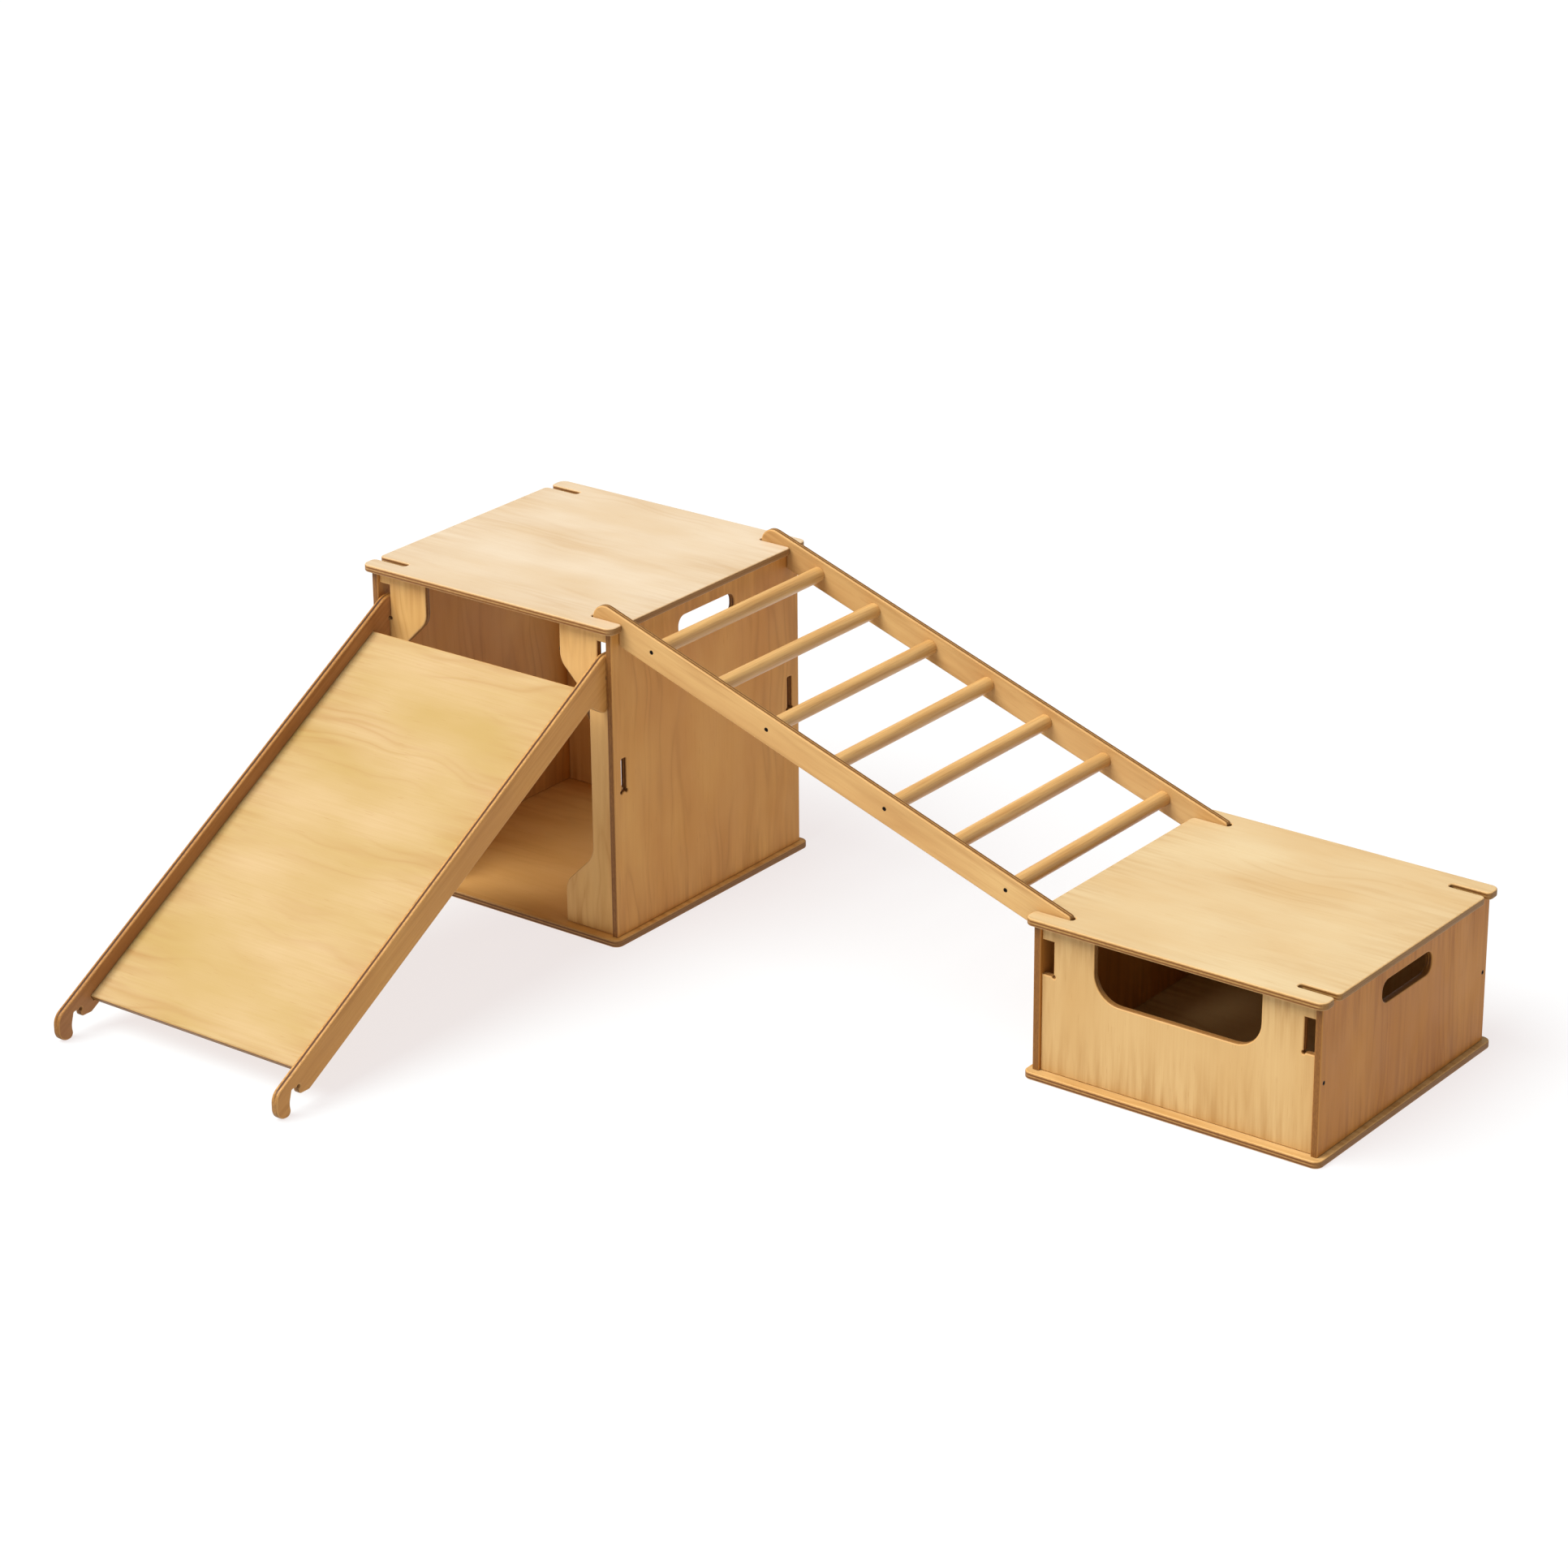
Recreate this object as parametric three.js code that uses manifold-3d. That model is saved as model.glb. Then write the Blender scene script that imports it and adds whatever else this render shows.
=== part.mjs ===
// Indoor climbing and sliding set for toddlers, cut from 12 mm birch plywood.
//
// A tall open box (the tower) and a low box stand side by side. A slide hangs in two windows of
// the tower's front, and a seven-rung ladder lies between the tower and the low box, hooked over
// the top edges of their side panels. The ladder and the slide lift off without tools.
//
// Units are millimetres, +Z is up, the slide runs towards -Y and the ladder towards +X.
// The origin is on the floor, at the middle of the whole set's footprint.

import * as THREE from "three";
import { mergeVertices } from "three/addons/utils/BufferGeometryUtils.js";
import Module from "manifold-3d";

const wasm = await Module();
wasm.setup();

// ---------------------------------------------------------------- driving dimensions

const PLY = 12; // sheet thickness of every flat piece
const BOX_W = 500; // each box over its side panels
const BOX_D = 488; // side panel depth
const TOWER_H = 548;
const LOW_H = 266;
const SPAN = 804; // clear distance between the two boxes

const OVERHANG_X = 10; // top and bottom panels past the side panels
const OVERHANG_Y = 13; // and past their front edges
const PANEL_CORNER = 14;
const RECESS = 5; // front and back pieces sit this far behind the side panels' edges

const FIT = 0.3; // clearance between pieces that touch in the real set
const DOG_BONE = 3; // radius of the relief left by the cutter in an inner corner

// Slots that take the ladder's hooks, in the top panels and low down in the tower's sides.
const SLOT_FROM_EDGE = 25; // slot centre line behind the front edge, and before the back edge
const SLOT_W = 12.6;
const SLOT_REACH = 56; // from the box's outer side face to the slot's inner end
const SLOT_MOUTH_R = 8;
const SLOT_END_R = 5;
const SIDE_SLOT_Z = 260;
const SIDE_SLOT_H = 57;

// Hand hold cut through every side panel.
const HANDLE_L = 145;
const HANDLE_H = 37;
const HANDLE_DROP = 37; // top of the hand hold below the top of the box
const HANDLE_R = 16;

// Windows that take the slide's hooks, cut in the outer edge of the front and back pieces.
const WINDOW_X = 33; // inner edge of the window from the box's outer side face
const WINDOW_TOP = 33; // below the top of the tower
const WINDOW_BOTTOM = 90;
const LOW_WINDOW_DROP = 4; // how much lower the low box's windows start

// Tower posts: a narrow upright that flares into a gusset at both ends.
const POST_W = 52; // inner edge of the upright from the box's outer side face
const GUSSET_W = 110;
const GUSSET_BEND = 82; // where the gusset's edge turns, from the top or bottom of the box
const GUSSET_END = 140; // where it meets the upright
const GUSSET_R = 35;
const GUSSET_BLEND = 45;

// Low box front: one panel with a wide bay open to the top.
const BAY_X = 105; // bay's side from the box's outer side face
const BAY_Z = 153;
const BAY_R = 45;

// Ladder.
const RAIL_W = 50; // rail width square to its length, for the ladder and the slide
const LADDER_UP = 14; // rail's upper edge above the tower's top, over its side face
const LADDER_DOWN = 21.5; // the same above the low box
const NOSE_REACH = 52; // from the side panel's outer face to the end of a ladder hook
const NOSE_R = 24;
const TOOTH = 17.5; // ladder hooks reach this far below the side panel's top edge
const TOOTH_R = 12; // outer corner of a ladder hook's tooth
const LIP_R = 3; // corner of any hook's tooth at its throat
const CROOK_R = 6; // where a ladder rail's lower edge meets a side panel
const TAIL_R = 5; // upper corner of the rail's lower end
const RUNG_R = 12.5;
const RUNG_COUNT = 7;
const RUNG_PITCH = 112.2; // horizontal distance between rungs

// Slide. y is the distance behind the side panels' front edges.
const SLIDE_ANGLE = THREE.MathUtils.degToRad(30);
const SLIDE_TOP = 499; // height at which the rails' upper edge would meet y = 0
const SLIDE_LEFT = 20.5; // left rail's outer face from the tower's left side face
const SLIDE_RIGHT = 12.5; // right rail's outer face from the tower's right side face
const SLIDE_NOSE_Z = 497; // top of the hook inside the window
const SLIDE_TOOTH_Z = 441;
const SLIDE_TOOTH_END = 33;
const SLIDE_HEEL_Z = 394; // lowest point of the heel that rests against the post
const HEEL_START = -38; // y where the heel leaves the rail's lower edge
const TOE_FRONT = -790.3;
const TOE_BACK = -758.5;
const FOOT_ROOF = 41; // roof of the small throat behind the toe
const FOOT_HEEL = [-741, -718]; // y range of the heel behind that throat
const FOOT_HEEL_Z = 27.3;
const TOE_TOP_R = 25;
const TOE_TIP_R = 19;
const TOE_HEEL_R = 9;
const TOE_HOLLOW = [-3.5, 20, 30]; // hollow in the toe's back: y from TOE_BACK, height, radius
const TOE_LIP = [2.5, 2]; // lip over that hollow: y from TOE_BACK, radius
const FOOT_HEEL_R = [6, 8];
const HEEL_START_R = 10;
const HEEL_R = 9;
const SLIDE_TOOTH_R = 7;
const SLIDE_NOSE_R = 16;
const SLIDE_BEND_R = 40; // where the sloping upper edge turns level into the nose
const BED_DEPTH = 25; // bed surface below the rails' upper edge, square to the slope
const BED_Y = [-719, -37]; // ends of the bed's upper surface
const GROOVE = 5; // the bed's edges sit this deep in the rails
const BATTEN_W = 40;
const BATTEN_AT = [0.25, 0.75]; // along the bed
const BED_EDGE_R = 2;
const BATTEN_EDGE_R = 1;

// Fixings.
const SCREW_HEAD_R = 3.6;
const SCREW_SHANK_R = 1.7;
const SCREW_L = 38;
const SCREW_POINT = 6; // length of the screw's point
const SCREW_SINK = 0.4; // head below the surface
const SIDE_SCREW_Z = 130; // screws through the low box's sides
const PIN_R = 4;
const PIN_L = 22;
const PIN_IN_PANEL = 8; // depth of a pin in a top or bottom panel
const PIN_FROM_EDGE = 110; // pins from the side panels' front and back edges
const HOLE_GAP = 0.15; // hole radius beyond the screw or pin in it

const ROUND = 16; // sides of a turned piece
const ARC = 3; // half the number of straight steps in an outline's arc

// ---------------------------------------------------------------- materials

const materials = {
  birch: { color: 0xdcb57c, roughness: 0.55, metalness: 0 },
  bed: { color: 0xe8c88c, roughness: 0.45, metalness: 0 },
  rod: { color: 0xc98f4e, roughness: 0.5, metalness: 0 },
  screw: { color: 0x2b2522, roughness: 0.4, metalness: 0.9 },
};

// ---------------------------------------------------------------- outlines

const angleOf = (v) => Math.atan2(v.y, v.x);

// Closed path through [x, y, r] corners. r > 0 rounds the corner, r < 0 leaves a round relief
// of radius -r centred on it, and r = 0 or none keeps it sharp.
function outline(corners, path = new THREE.Shape()) {
  corners.forEach(([x, y, r = 0], i) => {
    const corner = new THREE.Vector2(x, y);
    const toward = (step) => {
      const [nx, ny] = corners[(i + step + corners.length) % corners.length];
      return new THREE.Vector2(nx - x, ny - y).normalize();
    };
    const back = toward(-1);
    const on = toward(1);
    const clockwise = back.cross(on) > 0;
    if (r < 0) {
      path.absarc(x, y, -r, angleOf(back), angleOf(on), clockwise);
    } else if (r > 0) {
      const half = Math.acos(back.dot(on)) / 2;
      const centre = back.clone().add(on).normalize().multiplyScalar(r / Math.sin(half)).add(corner);
      const reach = r / Math.tan(half);
      const start = corner.clone().addScaledVector(back, reach).sub(centre);
      const end = corner.clone().addScaledVector(on, reach).sub(centre);
      path.absarc(centre.x, centre.y, r, angleOf(start), angleOf(end), clockwise);
    } else if (i === 0) {
      path.moveTo(x, y);
    } else {
      path.lineTo(x, y);
    }
  });
  path.closePath();
  return path;
}

const rectangle = (x0, y0, x1, y1, r = 0) => [
  [x0, y0, r],
  [x1, y0, r],
  [x1, y1, r],
  [x0, y1, r],
];

// ---------------------------------------------------------------- solids

const X = new THREE.Vector3(1, 0, 0);
const Y = new THREE.Vector3(0, 1, 0);
const Z = new THREE.Vector3(0, 0, 1);

// Where an outline's own x, y and thickness point in the set's frame.
const FLAT = new THREE.Matrix4().makeBasis(X, Y, Z);
const FACING_FRONT = new THREE.Matrix4().makeBasis(X, Z, Y.clone().negate());
const FACING_SIDE = new THREE.Matrix4().makeBasis(Y, Z, X);

// Plate cut from a sheet: the outline lies in the plane, and the plate grows from `at` by
// `thickness` along +Z (FLAT), +Y (FACING_FRONT) or +X (FACING_SIDE).
function plate(corners, plane, at, { thickness = PLY, holes = [] } = {}) {
  const shape = outline(corners);
  shape.holes = holes.map((hole) => outline(hole, new THREE.Path()));
  const geometry = new THREE.ExtrudeGeometry(shape, {
    depth: thickness,
    bevelEnabled: false,
    curveSegments: ARC,
  });
  geometry.applyMatrix4(plane);
  if (plane === FLAT) geometry.translate(0, 0, at);
  if (plane === FACING_FRONT) geometry.translate(0, at + thickness, 0);
  if (plane === FACING_SIDE) geometry.translate(at, 0, 0);
  return geometry;
}

// Turned piece: profile of [radius, height] pairs about an axis that starts at `foot`.
function turned(profile, foot, direction, sides = ROUND) {
  const points = profile.map(([r, h]) => new THREE.Vector2(r, h));
  const geometry = new THREE.LatheGeometry(points, sides);
  const turn = new THREE.Quaternion().setFromUnitVectors(Y, direction);
  geometry.applyQuaternion(turn);
  geometry.translate(foot.x, foot.y, foot.z);
  return geometry;
}

const rod = (radius, length, foot, direction, sides) =>
  turned([[0, 0], [radius, 0], [radius, length], [0, length]], foot, direction, sides);

function solid(geometry) {
  const bare = geometry.clone();
  bare.deleteAttribute("normal");
  bare.deleteAttribute("uv");
  const merged = mergeVertices(bare, 1e-4);
  const vertProperties = merged.attributes.position.array;
  const triVerts = Uint32Array.from(merged.index.array);
  return new wasm.Manifold(new wasm.Mesh({ numProp: 3, vertProperties, triVerts }));
}

// The geometry with every tool in the list cut out of it.
function cut(geometry, tools) {
  const left = tools.reduce((body, tool) => body.subtract(solid(tool)), solid(geometry));
  const { vertProperties, triVerts } = left.getMesh();
  const result = new THREE.BufferGeometry();
  result.setAttribute("position", new THREE.BufferAttribute(Float32Array.from(vertProperties), 3));
  result.setIndex(new THREE.BufferAttribute(Uint32Array.from(triVerts), 1));
  const faceted = result.toNonIndexed();
  faceted.computeVertexNormals();
  return faceted;
}

function addPiece(group, name, geometry, look) {
  const material = new THREE.MeshStandardMaterial(materials[look]);
  const mesh = new THREE.Mesh(geometry, material);
  mesh.name = name;
  group.add(mesh);
}

// ---------------------------------------------------------------- fixings

// Countersunk screw with a six-sided recess, driven from `mouth` along `direction`.
function screw(mouth, direction) {
  const shank = SCREW_L - SCREW_POINT;
  const cone = SCREW_HEAD_R - SCREW_SHANK_R;
  const profile = [
    [0, SCREW_SINK],
    [SCREW_HEAD_R, SCREW_SINK],
    [SCREW_SHANK_R, SCREW_SINK + cone],
    [SCREW_SHANK_R, shank],
    [0, SCREW_L],
  ];
  const body = turned(profile, mouth, direction);
  return cut(body, [rod(SCREW_HEAD_R / 2, SCREW_SINK + cone, mouth, direction, 6)]);
}

// Hole for that screw: a countersink and a bore a little longer and wider than the shank.
function screwHole(mouth, direction) {
  const head = SCREW_HEAD_R + HOLE_GAP;
  const bore = SCREW_SHANK_R + HOLE_GAP;
  const cone = SCREW_SINK + head - bore;
  const before = mouth.clone().addScaledVector(direction, -1);
  const profile = [
    [0, 0],
    [head, 0],
    [head, 1 + SCREW_SINK],
    [bore, 1 + cone],
    [bore, 1 + SCREW_L + FIT],
    [0, 1 + SCREW_L + FIT],
  ];
  return turned(profile, before, direction);
}

// Places of the hidden pins that hold a top or bottom panel on the side panels.
function pinPlaces(height) {
  const places = [];
  for (const [level, up] of [["bottom", 1], ["top", -1]]) {
    for (const [side, x] of [["left", PLY / 2], ["right", BOX_W - PLY / 2]]) {
      for (const [end, y] of [["front", PIN_FROM_EDGE], ["back", BOX_D - PIN_FROM_EDGE]]) {
        const joint = up > 0 ? PLY : height - PLY;
        const foot = new THREE.Vector3(x, y, joint - up * PIN_IN_PANEL);
        places.push({ level, side, end, foot, direction: Z.clone().multiplyScalar(up) });
      }
    }
  }
  return places;
}

const pin = ({ foot, direction }) => rod(PIN_R, PIN_L, foot, direction);

const pinHole = ({ foot, direction }) => {
  const start = foot.clone().addScaledVector(direction, -FIT);
  return rod(PIN_R + HOLE_GAP, PIN_L + 2 * FIT, start, direction);
};

// ---------------------------------------------------------------- boxes
// A box's own frame has its left side face at x = 0, its side panels' front edges at y = 0
// and the floor at z = 0.

const panelRectangle = () =>
  rectangle(-OVERHANG_X, -OVERHANG_Y, BOX_W + OVERHANG_X, BOX_D + OVERHANG_Y, PANEL_CORNER);

// Top panel outline: four slots run in from the two side edges.
function topOutline() {
  const slot = (edge, inner, centre, way) => [
    [edge, centre - (way * SLOT_W) / 2, SLOT_MOUTH_R],
    [inner, centre - (way * SLOT_W) / 2, SLOT_END_R],
    [inner, centre + (way * SLOT_W) / 2, SLOT_END_R],
    [edge, centre + (way * SLOT_W) / 2, SLOT_MOUTH_R],
  ];
  const [frontLeft, frontRight, backRight, backLeft] = panelRectangle();
  const near = SLOT_FROM_EDGE;
  const far = BOX_D - SLOT_FROM_EDGE;
  const right = [BOX_W + OVERHANG_X, BOX_W - SLOT_REACH];
  const left = [-OVERHANG_X, SLOT_REACH];
  return [
    frontLeft,
    frontRight,
    ...slot(...right, near, 1),
    ...slot(...right, far, 1),
    backRight,
    backLeft,
    ...slot(...left, far, -1),
    ...slot(...left, near, -1),
  ];
}

function sideHoles(height, slots) {
  const handleTop = height - HANDLE_DROP;
  const handleY = (BOX_D - HANDLE_L) / 2;
  const handle = rectangle(
    handleY,
    handleTop - HANDLE_H,
    handleY + HANDLE_L,
    handleTop,
    HANDLE_R,
  );
  if (!slots) return [handle];
  const slot = (centre) => [
    [centre - SLOT_W / 2, SIDE_SLOT_Z, -DOG_BONE],
    [centre + SLOT_W / 2, SIDE_SLOT_Z, -DOG_BONE],
    [centre + SLOT_W / 2, SIDE_SLOT_Z + SIDE_SLOT_H, DOG_BONE],
    [centre - SLOT_W / 2, SIDE_SLOT_Z + SIDE_SLOT_H, DOG_BONE],
  ];
  return [handle, slot(SLOT_FROM_EDGE), slot(BOX_D - SLOT_FROM_EDGE)];
}

// Base, top, two sides and the hidden pins of a box of the given height.
function addCarcass(group, name, height, { slots, sideCuts = () => [] }) {
  const pins = pinPlaces(height);
  const holesAt = (test) => pins.filter(test).map(pinHole);
  const base = plate(panelRectangle(), FLAT, 0);
  const top = plate(topOutline(), FLAT, height - PLY);
  addPiece(group, `${name}_base`, cut(base, holesAt((p) => p.level === "bottom")), "birch");
  addPiece(group, `${name}_top`, cut(top, holesAt((p) => p.level === "top")), "birch");
  for (const [side, x] of [["left", 0], ["right", BOX_W - PLY]]) {
    const holes = sideHoles(height, slots);
    const panel = plate(rectangle(0, PLY, BOX_D, height - PLY), FACING_SIDE, x, { holes });
    const tools = [...holesAt((p) => p.side === side), ...sideCuts(side)];
    addPiece(group, `${name}_side_${side}`, cut(panel, tools), "birch");
  }
  for (const p of pins) {
    addPiece(group, `${name}_pin_${p.level}_${p.side}_${p.end}`, pin(p), "rod");
  }
}

// Corners of a window cut in the outer edge of a front or back piece, from the top down.
const windowCorners = (level, x) => [
  [x(PLY), level - WINDOW_TOP],
  [x(WINDOW_X), level - WINDOW_TOP],
  [x(WINDOW_X), level - WINDOW_BOTTOM, -DOG_BONE],
  [x(PLY), level - WINDOW_BOTTOM],
];

const fromLeft = (distance) => distance;
const fromRight = (distance) => BOX_W - distance;
const frontY = RECESS;
const backY = BOX_D - RECESS - PLY;

function postOutline(x) {
  return [
    [x(PLY), PLY],
    [x(GUSSET_W), PLY],
    [x(GUSSET_W), GUSSET_BEND, GUSSET_R],
    [x(POST_W), GUSSET_END, GUSSET_BLEND],
    [x(POST_W), TOWER_H - GUSSET_END, GUSSET_BLEND],
    [x(GUSSET_W), TOWER_H - GUSSET_BEND, GUSSET_R],
    [x(GUSSET_W), TOWER_H - PLY],
    [x(PLY), TOWER_H - PLY],
    ...windowCorners(TOWER_H, x),
  ];
}

function tower() {
  const group = new THREE.Group();
  addCarcass(group, "tower", TOWER_H, { slots: true });
  for (const [face, y] of [["front", frontY], ["back", backY]]) {
    for (const [side, x] of [["left", fromLeft], ["right", fromRight]]) {
      const post = plate(postOutline(x), FACING_FRONT, y);
      addPiece(group, `tower_post_${face}_${side}`, post, "birch");
    }
  }
  return group;
}

// Front or back of the low box: windows at both edges and the bay open to the top.
function bayOutline() {
  const top = LOW_H - PLY;
  const windowLevel = LOW_H - LOW_WINDOW_DROP;
  return [
    [fromLeft(PLY), PLY],
    [fromRight(PLY), PLY],
    ...windowCorners(windowLevel, fromRight).reverse(),
    [fromRight(PLY), top],
    [fromRight(BAY_X), top],
    [fromRight(BAY_X), BAY_Z, BAY_R],
    [fromLeft(BAY_X), BAY_Z, BAY_R],
    [fromLeft(BAY_X), top],
    [fromLeft(PLY), top],
    ...windowCorners(windowLevel, fromLeft),
  ];
}

function lowBox() {
  const group = new THREE.Group();
  const rows = [["front", frontY + PLY / 2], ["back", backY + PLY / 2]];
  const mouth = (side, y) => new THREE.Vector3(side === "left" ? 0 : BOX_W, y, SIDE_SCREW_Z);
  const inward = (side) => (side === "left" ? X : X.clone().negate());
  const cutters = (side) => rows.map(([, y]) => screwHole(mouth(side, y), inward(side)));
  addCarcass(group, "low_box", LOW_H, { slots: false, sideCuts: cutters });
  for (const [face, y] of rows) {
    const panel = plate(bayOutline(), FACING_FRONT, y - PLY / 2);
    const bores = ["left", "right"].map((side) => screwHole(mouth(side, y), inward(side)));
    addPiece(group, `low_box_${face}`, cut(panel, bores), "birch");
    for (const side of ["left", "right"]) {
      const name = `low_box_screw_${face}_${side}`;
      addPiece(group, name, screw(mouth(side, y), inward(side)), "screw");
    }
  }
  return group;
}

// ---------------------------------------------------------------- ladder
// x = 0 is the tower's right side face, x = SPAN the low box's left side face.

const ladderFall = (TOWER_H + LADDER_UP - LOW_H - LADDER_DOWN) / SPAN;
const ladderTop = (x) => TOWER_H + LADDER_UP - ladderFall * x;
const ladderDrop = RAIL_W * Math.hypot(1, ladderFall); // rail width measured straight down
const rungX = (i) => SPAN / 2 + (i - (RUNG_COUNT - 1) / 2) * RUNG_PITCH;
const rungZ = (i) => ladderTop(rungX(i)) - ladderDrop / 2;

function ladderOutline() {
  const roofHigh = TOWER_H - PLY + FIT;
  const roofLow = LOW_H - PLY + FIT;
  const play = FIT + 0.1;
  return [
    // hook inside the tower, from the end of the nose round its tooth
    [-NOSE_REACH, ladderTop(-NOSE_REACH), NOSE_R],
    [-NOSE_REACH, roofHigh - TOOTH, TOOTH_R],
    [-PLY - play, roofHigh - TOOTH, LIP_R],
    [-PLY - play, roofHigh, -DOG_BONE],
    [play, roofHigh, -DOG_BONE],
    [play, ladderTop(play) - ladderDrop, CROOK_R],
    // hook inside the low box
    [SPAN - play, ladderTop(SPAN - play) - ladderDrop, CROOK_R],
    [SPAN - play, roofLow, -DOG_BONE],
    [SPAN + PLY + play, roofLow, -DOG_BONE],
    [SPAN + PLY + play, roofLow - TOOTH, LIP_R],
    [SPAN + NOSE_REACH, roofLow - TOOTH, TOOTH_R],
    [SPAN + NOSE_REACH, ladderTop(SPAN + NOSE_REACH), TAIL_R],
  ];
}

function ladder() {
  const group = new THREE.Group();
  const rails = [
    { name: "front", y: SLOT_FROM_EDGE - PLY / 2, mouth: 0, inward: Y },
    { name: "back", y: BOX_D - SLOT_FROM_EDGE - PLY / 2, mouth: PLY, inward: Y.clone().negate() },
  ];
  const screwed = (i) => i % 2 === 0;
  const mouthOf = (rail, i) => new THREE.Vector3(rungX(i), rail.y + rail.mouth, rungZ(i));
  const rungs = [...Array(RUNG_COUNT).keys()];
  for (const rail of rails) {
    const places = rungs.filter(screwed).map((i) => mouthOf(rail, i));
    const holes = places.map((mouth) => screwHole(mouth, rail.inward));
    const board = plate(ladderOutline(), FACING_FRONT, rail.y);
    addPiece(group, `ladder_rail_${rail.name}`, cut(board, holes), "birch");
    places.forEach((mouth, k) => {
      const name = `ladder_screw_${rail.name}_${k + 1}`;
      addPiece(group, name, screw(mouth, rail.inward), "screw");
    });
  }
  const start = rails[0].y + PLY;
  const length = rails[1].y - start;
  for (const i of rungs) {
    const rung = rod(RUNG_R, length, new THREE.Vector3(rungX(i), start, rungZ(i)), Y, ROUND + 8);
    const bores = rails.map((rail) => screwHole(mouthOf(rail, i), rail.inward));
    addPiece(group, `ladder_rung_${i + 1}`, screwed(i) ? cut(rung, bores) : rung, "rod");
  }
  return group;
}

// ---------------------------------------------------------------- slide
// Outlines are drawn in (y, z), with y = 0 at the side panels' front edges.

const slideRise = Math.tan(SLIDE_ANGLE);
const squareToSlope = (depth) => depth / Math.cos(SLIDE_ANGLE); // depth measured straight down
const slideZ = (y, depth = 0) => SLIDE_TOP + slideRise * y - squareToSlope(depth);

function slideRailOutline() {
  const roof = TOWER_H - WINDOW_BOTTOM + FIT;
  const play = FIT + 0.1;
  const throat = [frontY - play, frontY + PLY + play];
  const noseStart = (SLIDE_NOSE_Z - SLIDE_TOP) / slideRise;
  const [hollowY, hollowZ, hollowR] = TOE_HOLLOW;
  const [lipY, lipR] = TOE_LIP;
  return [
    // toe
    [TOE_FRONT, slideZ(TOE_FRONT), TOE_TOP_R],
    [TOE_FRONT, 0, TOE_TIP_R],
    [TOE_BACK, 0, TOE_HEEL_R],
    [TOE_BACK + hollowY, hollowZ, hollowR],
    [TOE_BACK + lipY, FOOT_ROOF, lipR],
    // throat and heel behind it
    [FOOT_HEEL[0], FOOT_ROOF, -DOG_BONE],
    [FOOT_HEEL[0], FOOT_HEEL_Z, FOOT_HEEL_R[0]],
    [FOOT_HEEL[1], FOOT_HEEL_Z, FOOT_HEEL_R[1]],
    // heel against the tower's post
    [HEEL_START, slideZ(HEEL_START, RAIL_W), HEEL_START_R],
    [throat[0], SLIDE_HEEL_Z, HEEL_R],
    // throat over the window's sill, tooth behind the post and nose
    [throat[0], roof, -DOG_BONE],
    [throat[1], roof, -DOG_BONE],
    [throat[1], SLIDE_TOOTH_Z, LIP_R],
    [SLIDE_TOOTH_END, SLIDE_TOOTH_Z, SLIDE_TOOTH_R],
    [SLIDE_TOOTH_END, SLIDE_NOSE_Z, SLIDE_NOSE_R],
    [noseStart, SLIDE_NOSE_Z, SLIDE_BEND_R],
  ];
}

// Strip lying under or in the bed's plane: y range of its upper surface, depths square to the
// slope, and extra length at both ends.
function slopedStrip([y0, y1], depthTop, depthBottom, extra, corner) {
  const along = new THREE.Vector2(Math.cos(SLIDE_ANGLE), Math.sin(SLIDE_ANGLE));
  const down = new THREE.Vector2(along.y, -along.x);
  const lower = new THREE.Vector2(y0, slideZ(y0, BED_DEPTH)).addScaledVector(along, -extra);
  const upper = new THREE.Vector2(y1, slideZ(y1, BED_DEPTH)).addScaledVector(along, extra);
  const at = (end, depth) => end.clone().addScaledVector(down, depth - BED_DEPTH).toArray();
  const lowerEnd = [at(lower, depthTop), at(lower, depthBottom)];
  const upperEnd = [at(upper, depthBottom), at(upper, depthTop)];
  return [...lowerEnd, ...upperEnd].map((point) => [...point, corner]);
}

function slide() {
  const group = new THREE.Group();
  const left = SLIDE_LEFT - BOX_W;
  const right = -SLIDE_RIGHT - PLY;
  const bedBottom = BED_DEPTH + PLY;
  const grooveStrip = slopedStrip(BED_Y, BED_DEPTH - FIT, bedBottom + FIT, FIT, 0);
  const rails = [
    { name: "left", x: left, groove: left + PLY - GROOVE - FIT },
    { name: "right", x: right, groove: right - 1 },
  ];
  for (const { name, x, groove } of rails) {
    const board = plate(slideRailOutline(), FACING_SIDE, x);
    const tool = plate(grooveStrip, FACING_SIDE, groove, { thickness: GROOVE + FIT + 1 });
    addPiece(group, `slide_rail_${name}`, cut(board, [tool]), "birch");
  }
  const inner = left + PLY;
  const clear = right - inner;
  const bed = plate(slopedStrip(BED_Y, BED_DEPTH, bedBottom, 0, BED_EDGE_R), FACING_SIDE, inner - GROOVE, {
    thickness: clear + 2 * GROOVE,
  });
  addPiece(group, "slide_bed", bed, "bed");
  BATTEN_AT.forEach((share, i) => {
    const middle = THREE.MathUtils.lerp(...BED_Y, share);
    const half = (BATTEN_W / 2) * Math.cos(SLIDE_ANGLE);
    const ends = [middle - half, middle + half];
    const strip = slopedStrip(ends, bedBottom + FIT, RAIL_W - 1, 0, BATTEN_EDGE_R);
    const batten = plate(strip, FACING_SIDE, inner + FIT, { thickness: clear - 2 * FIT });
    addPiece(group, `slide_batten_${i + 1}`, batten, "birch");
  });
  return group;
}

// ---------------------------------------------------------------- assembly

const reachX = [-BOX_W - OVERHANG_X, SPAN + BOX_W + OVERHANG_X];
const reachY = [TOE_FRONT, BOX_D + OVERHANG_Y];

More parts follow.
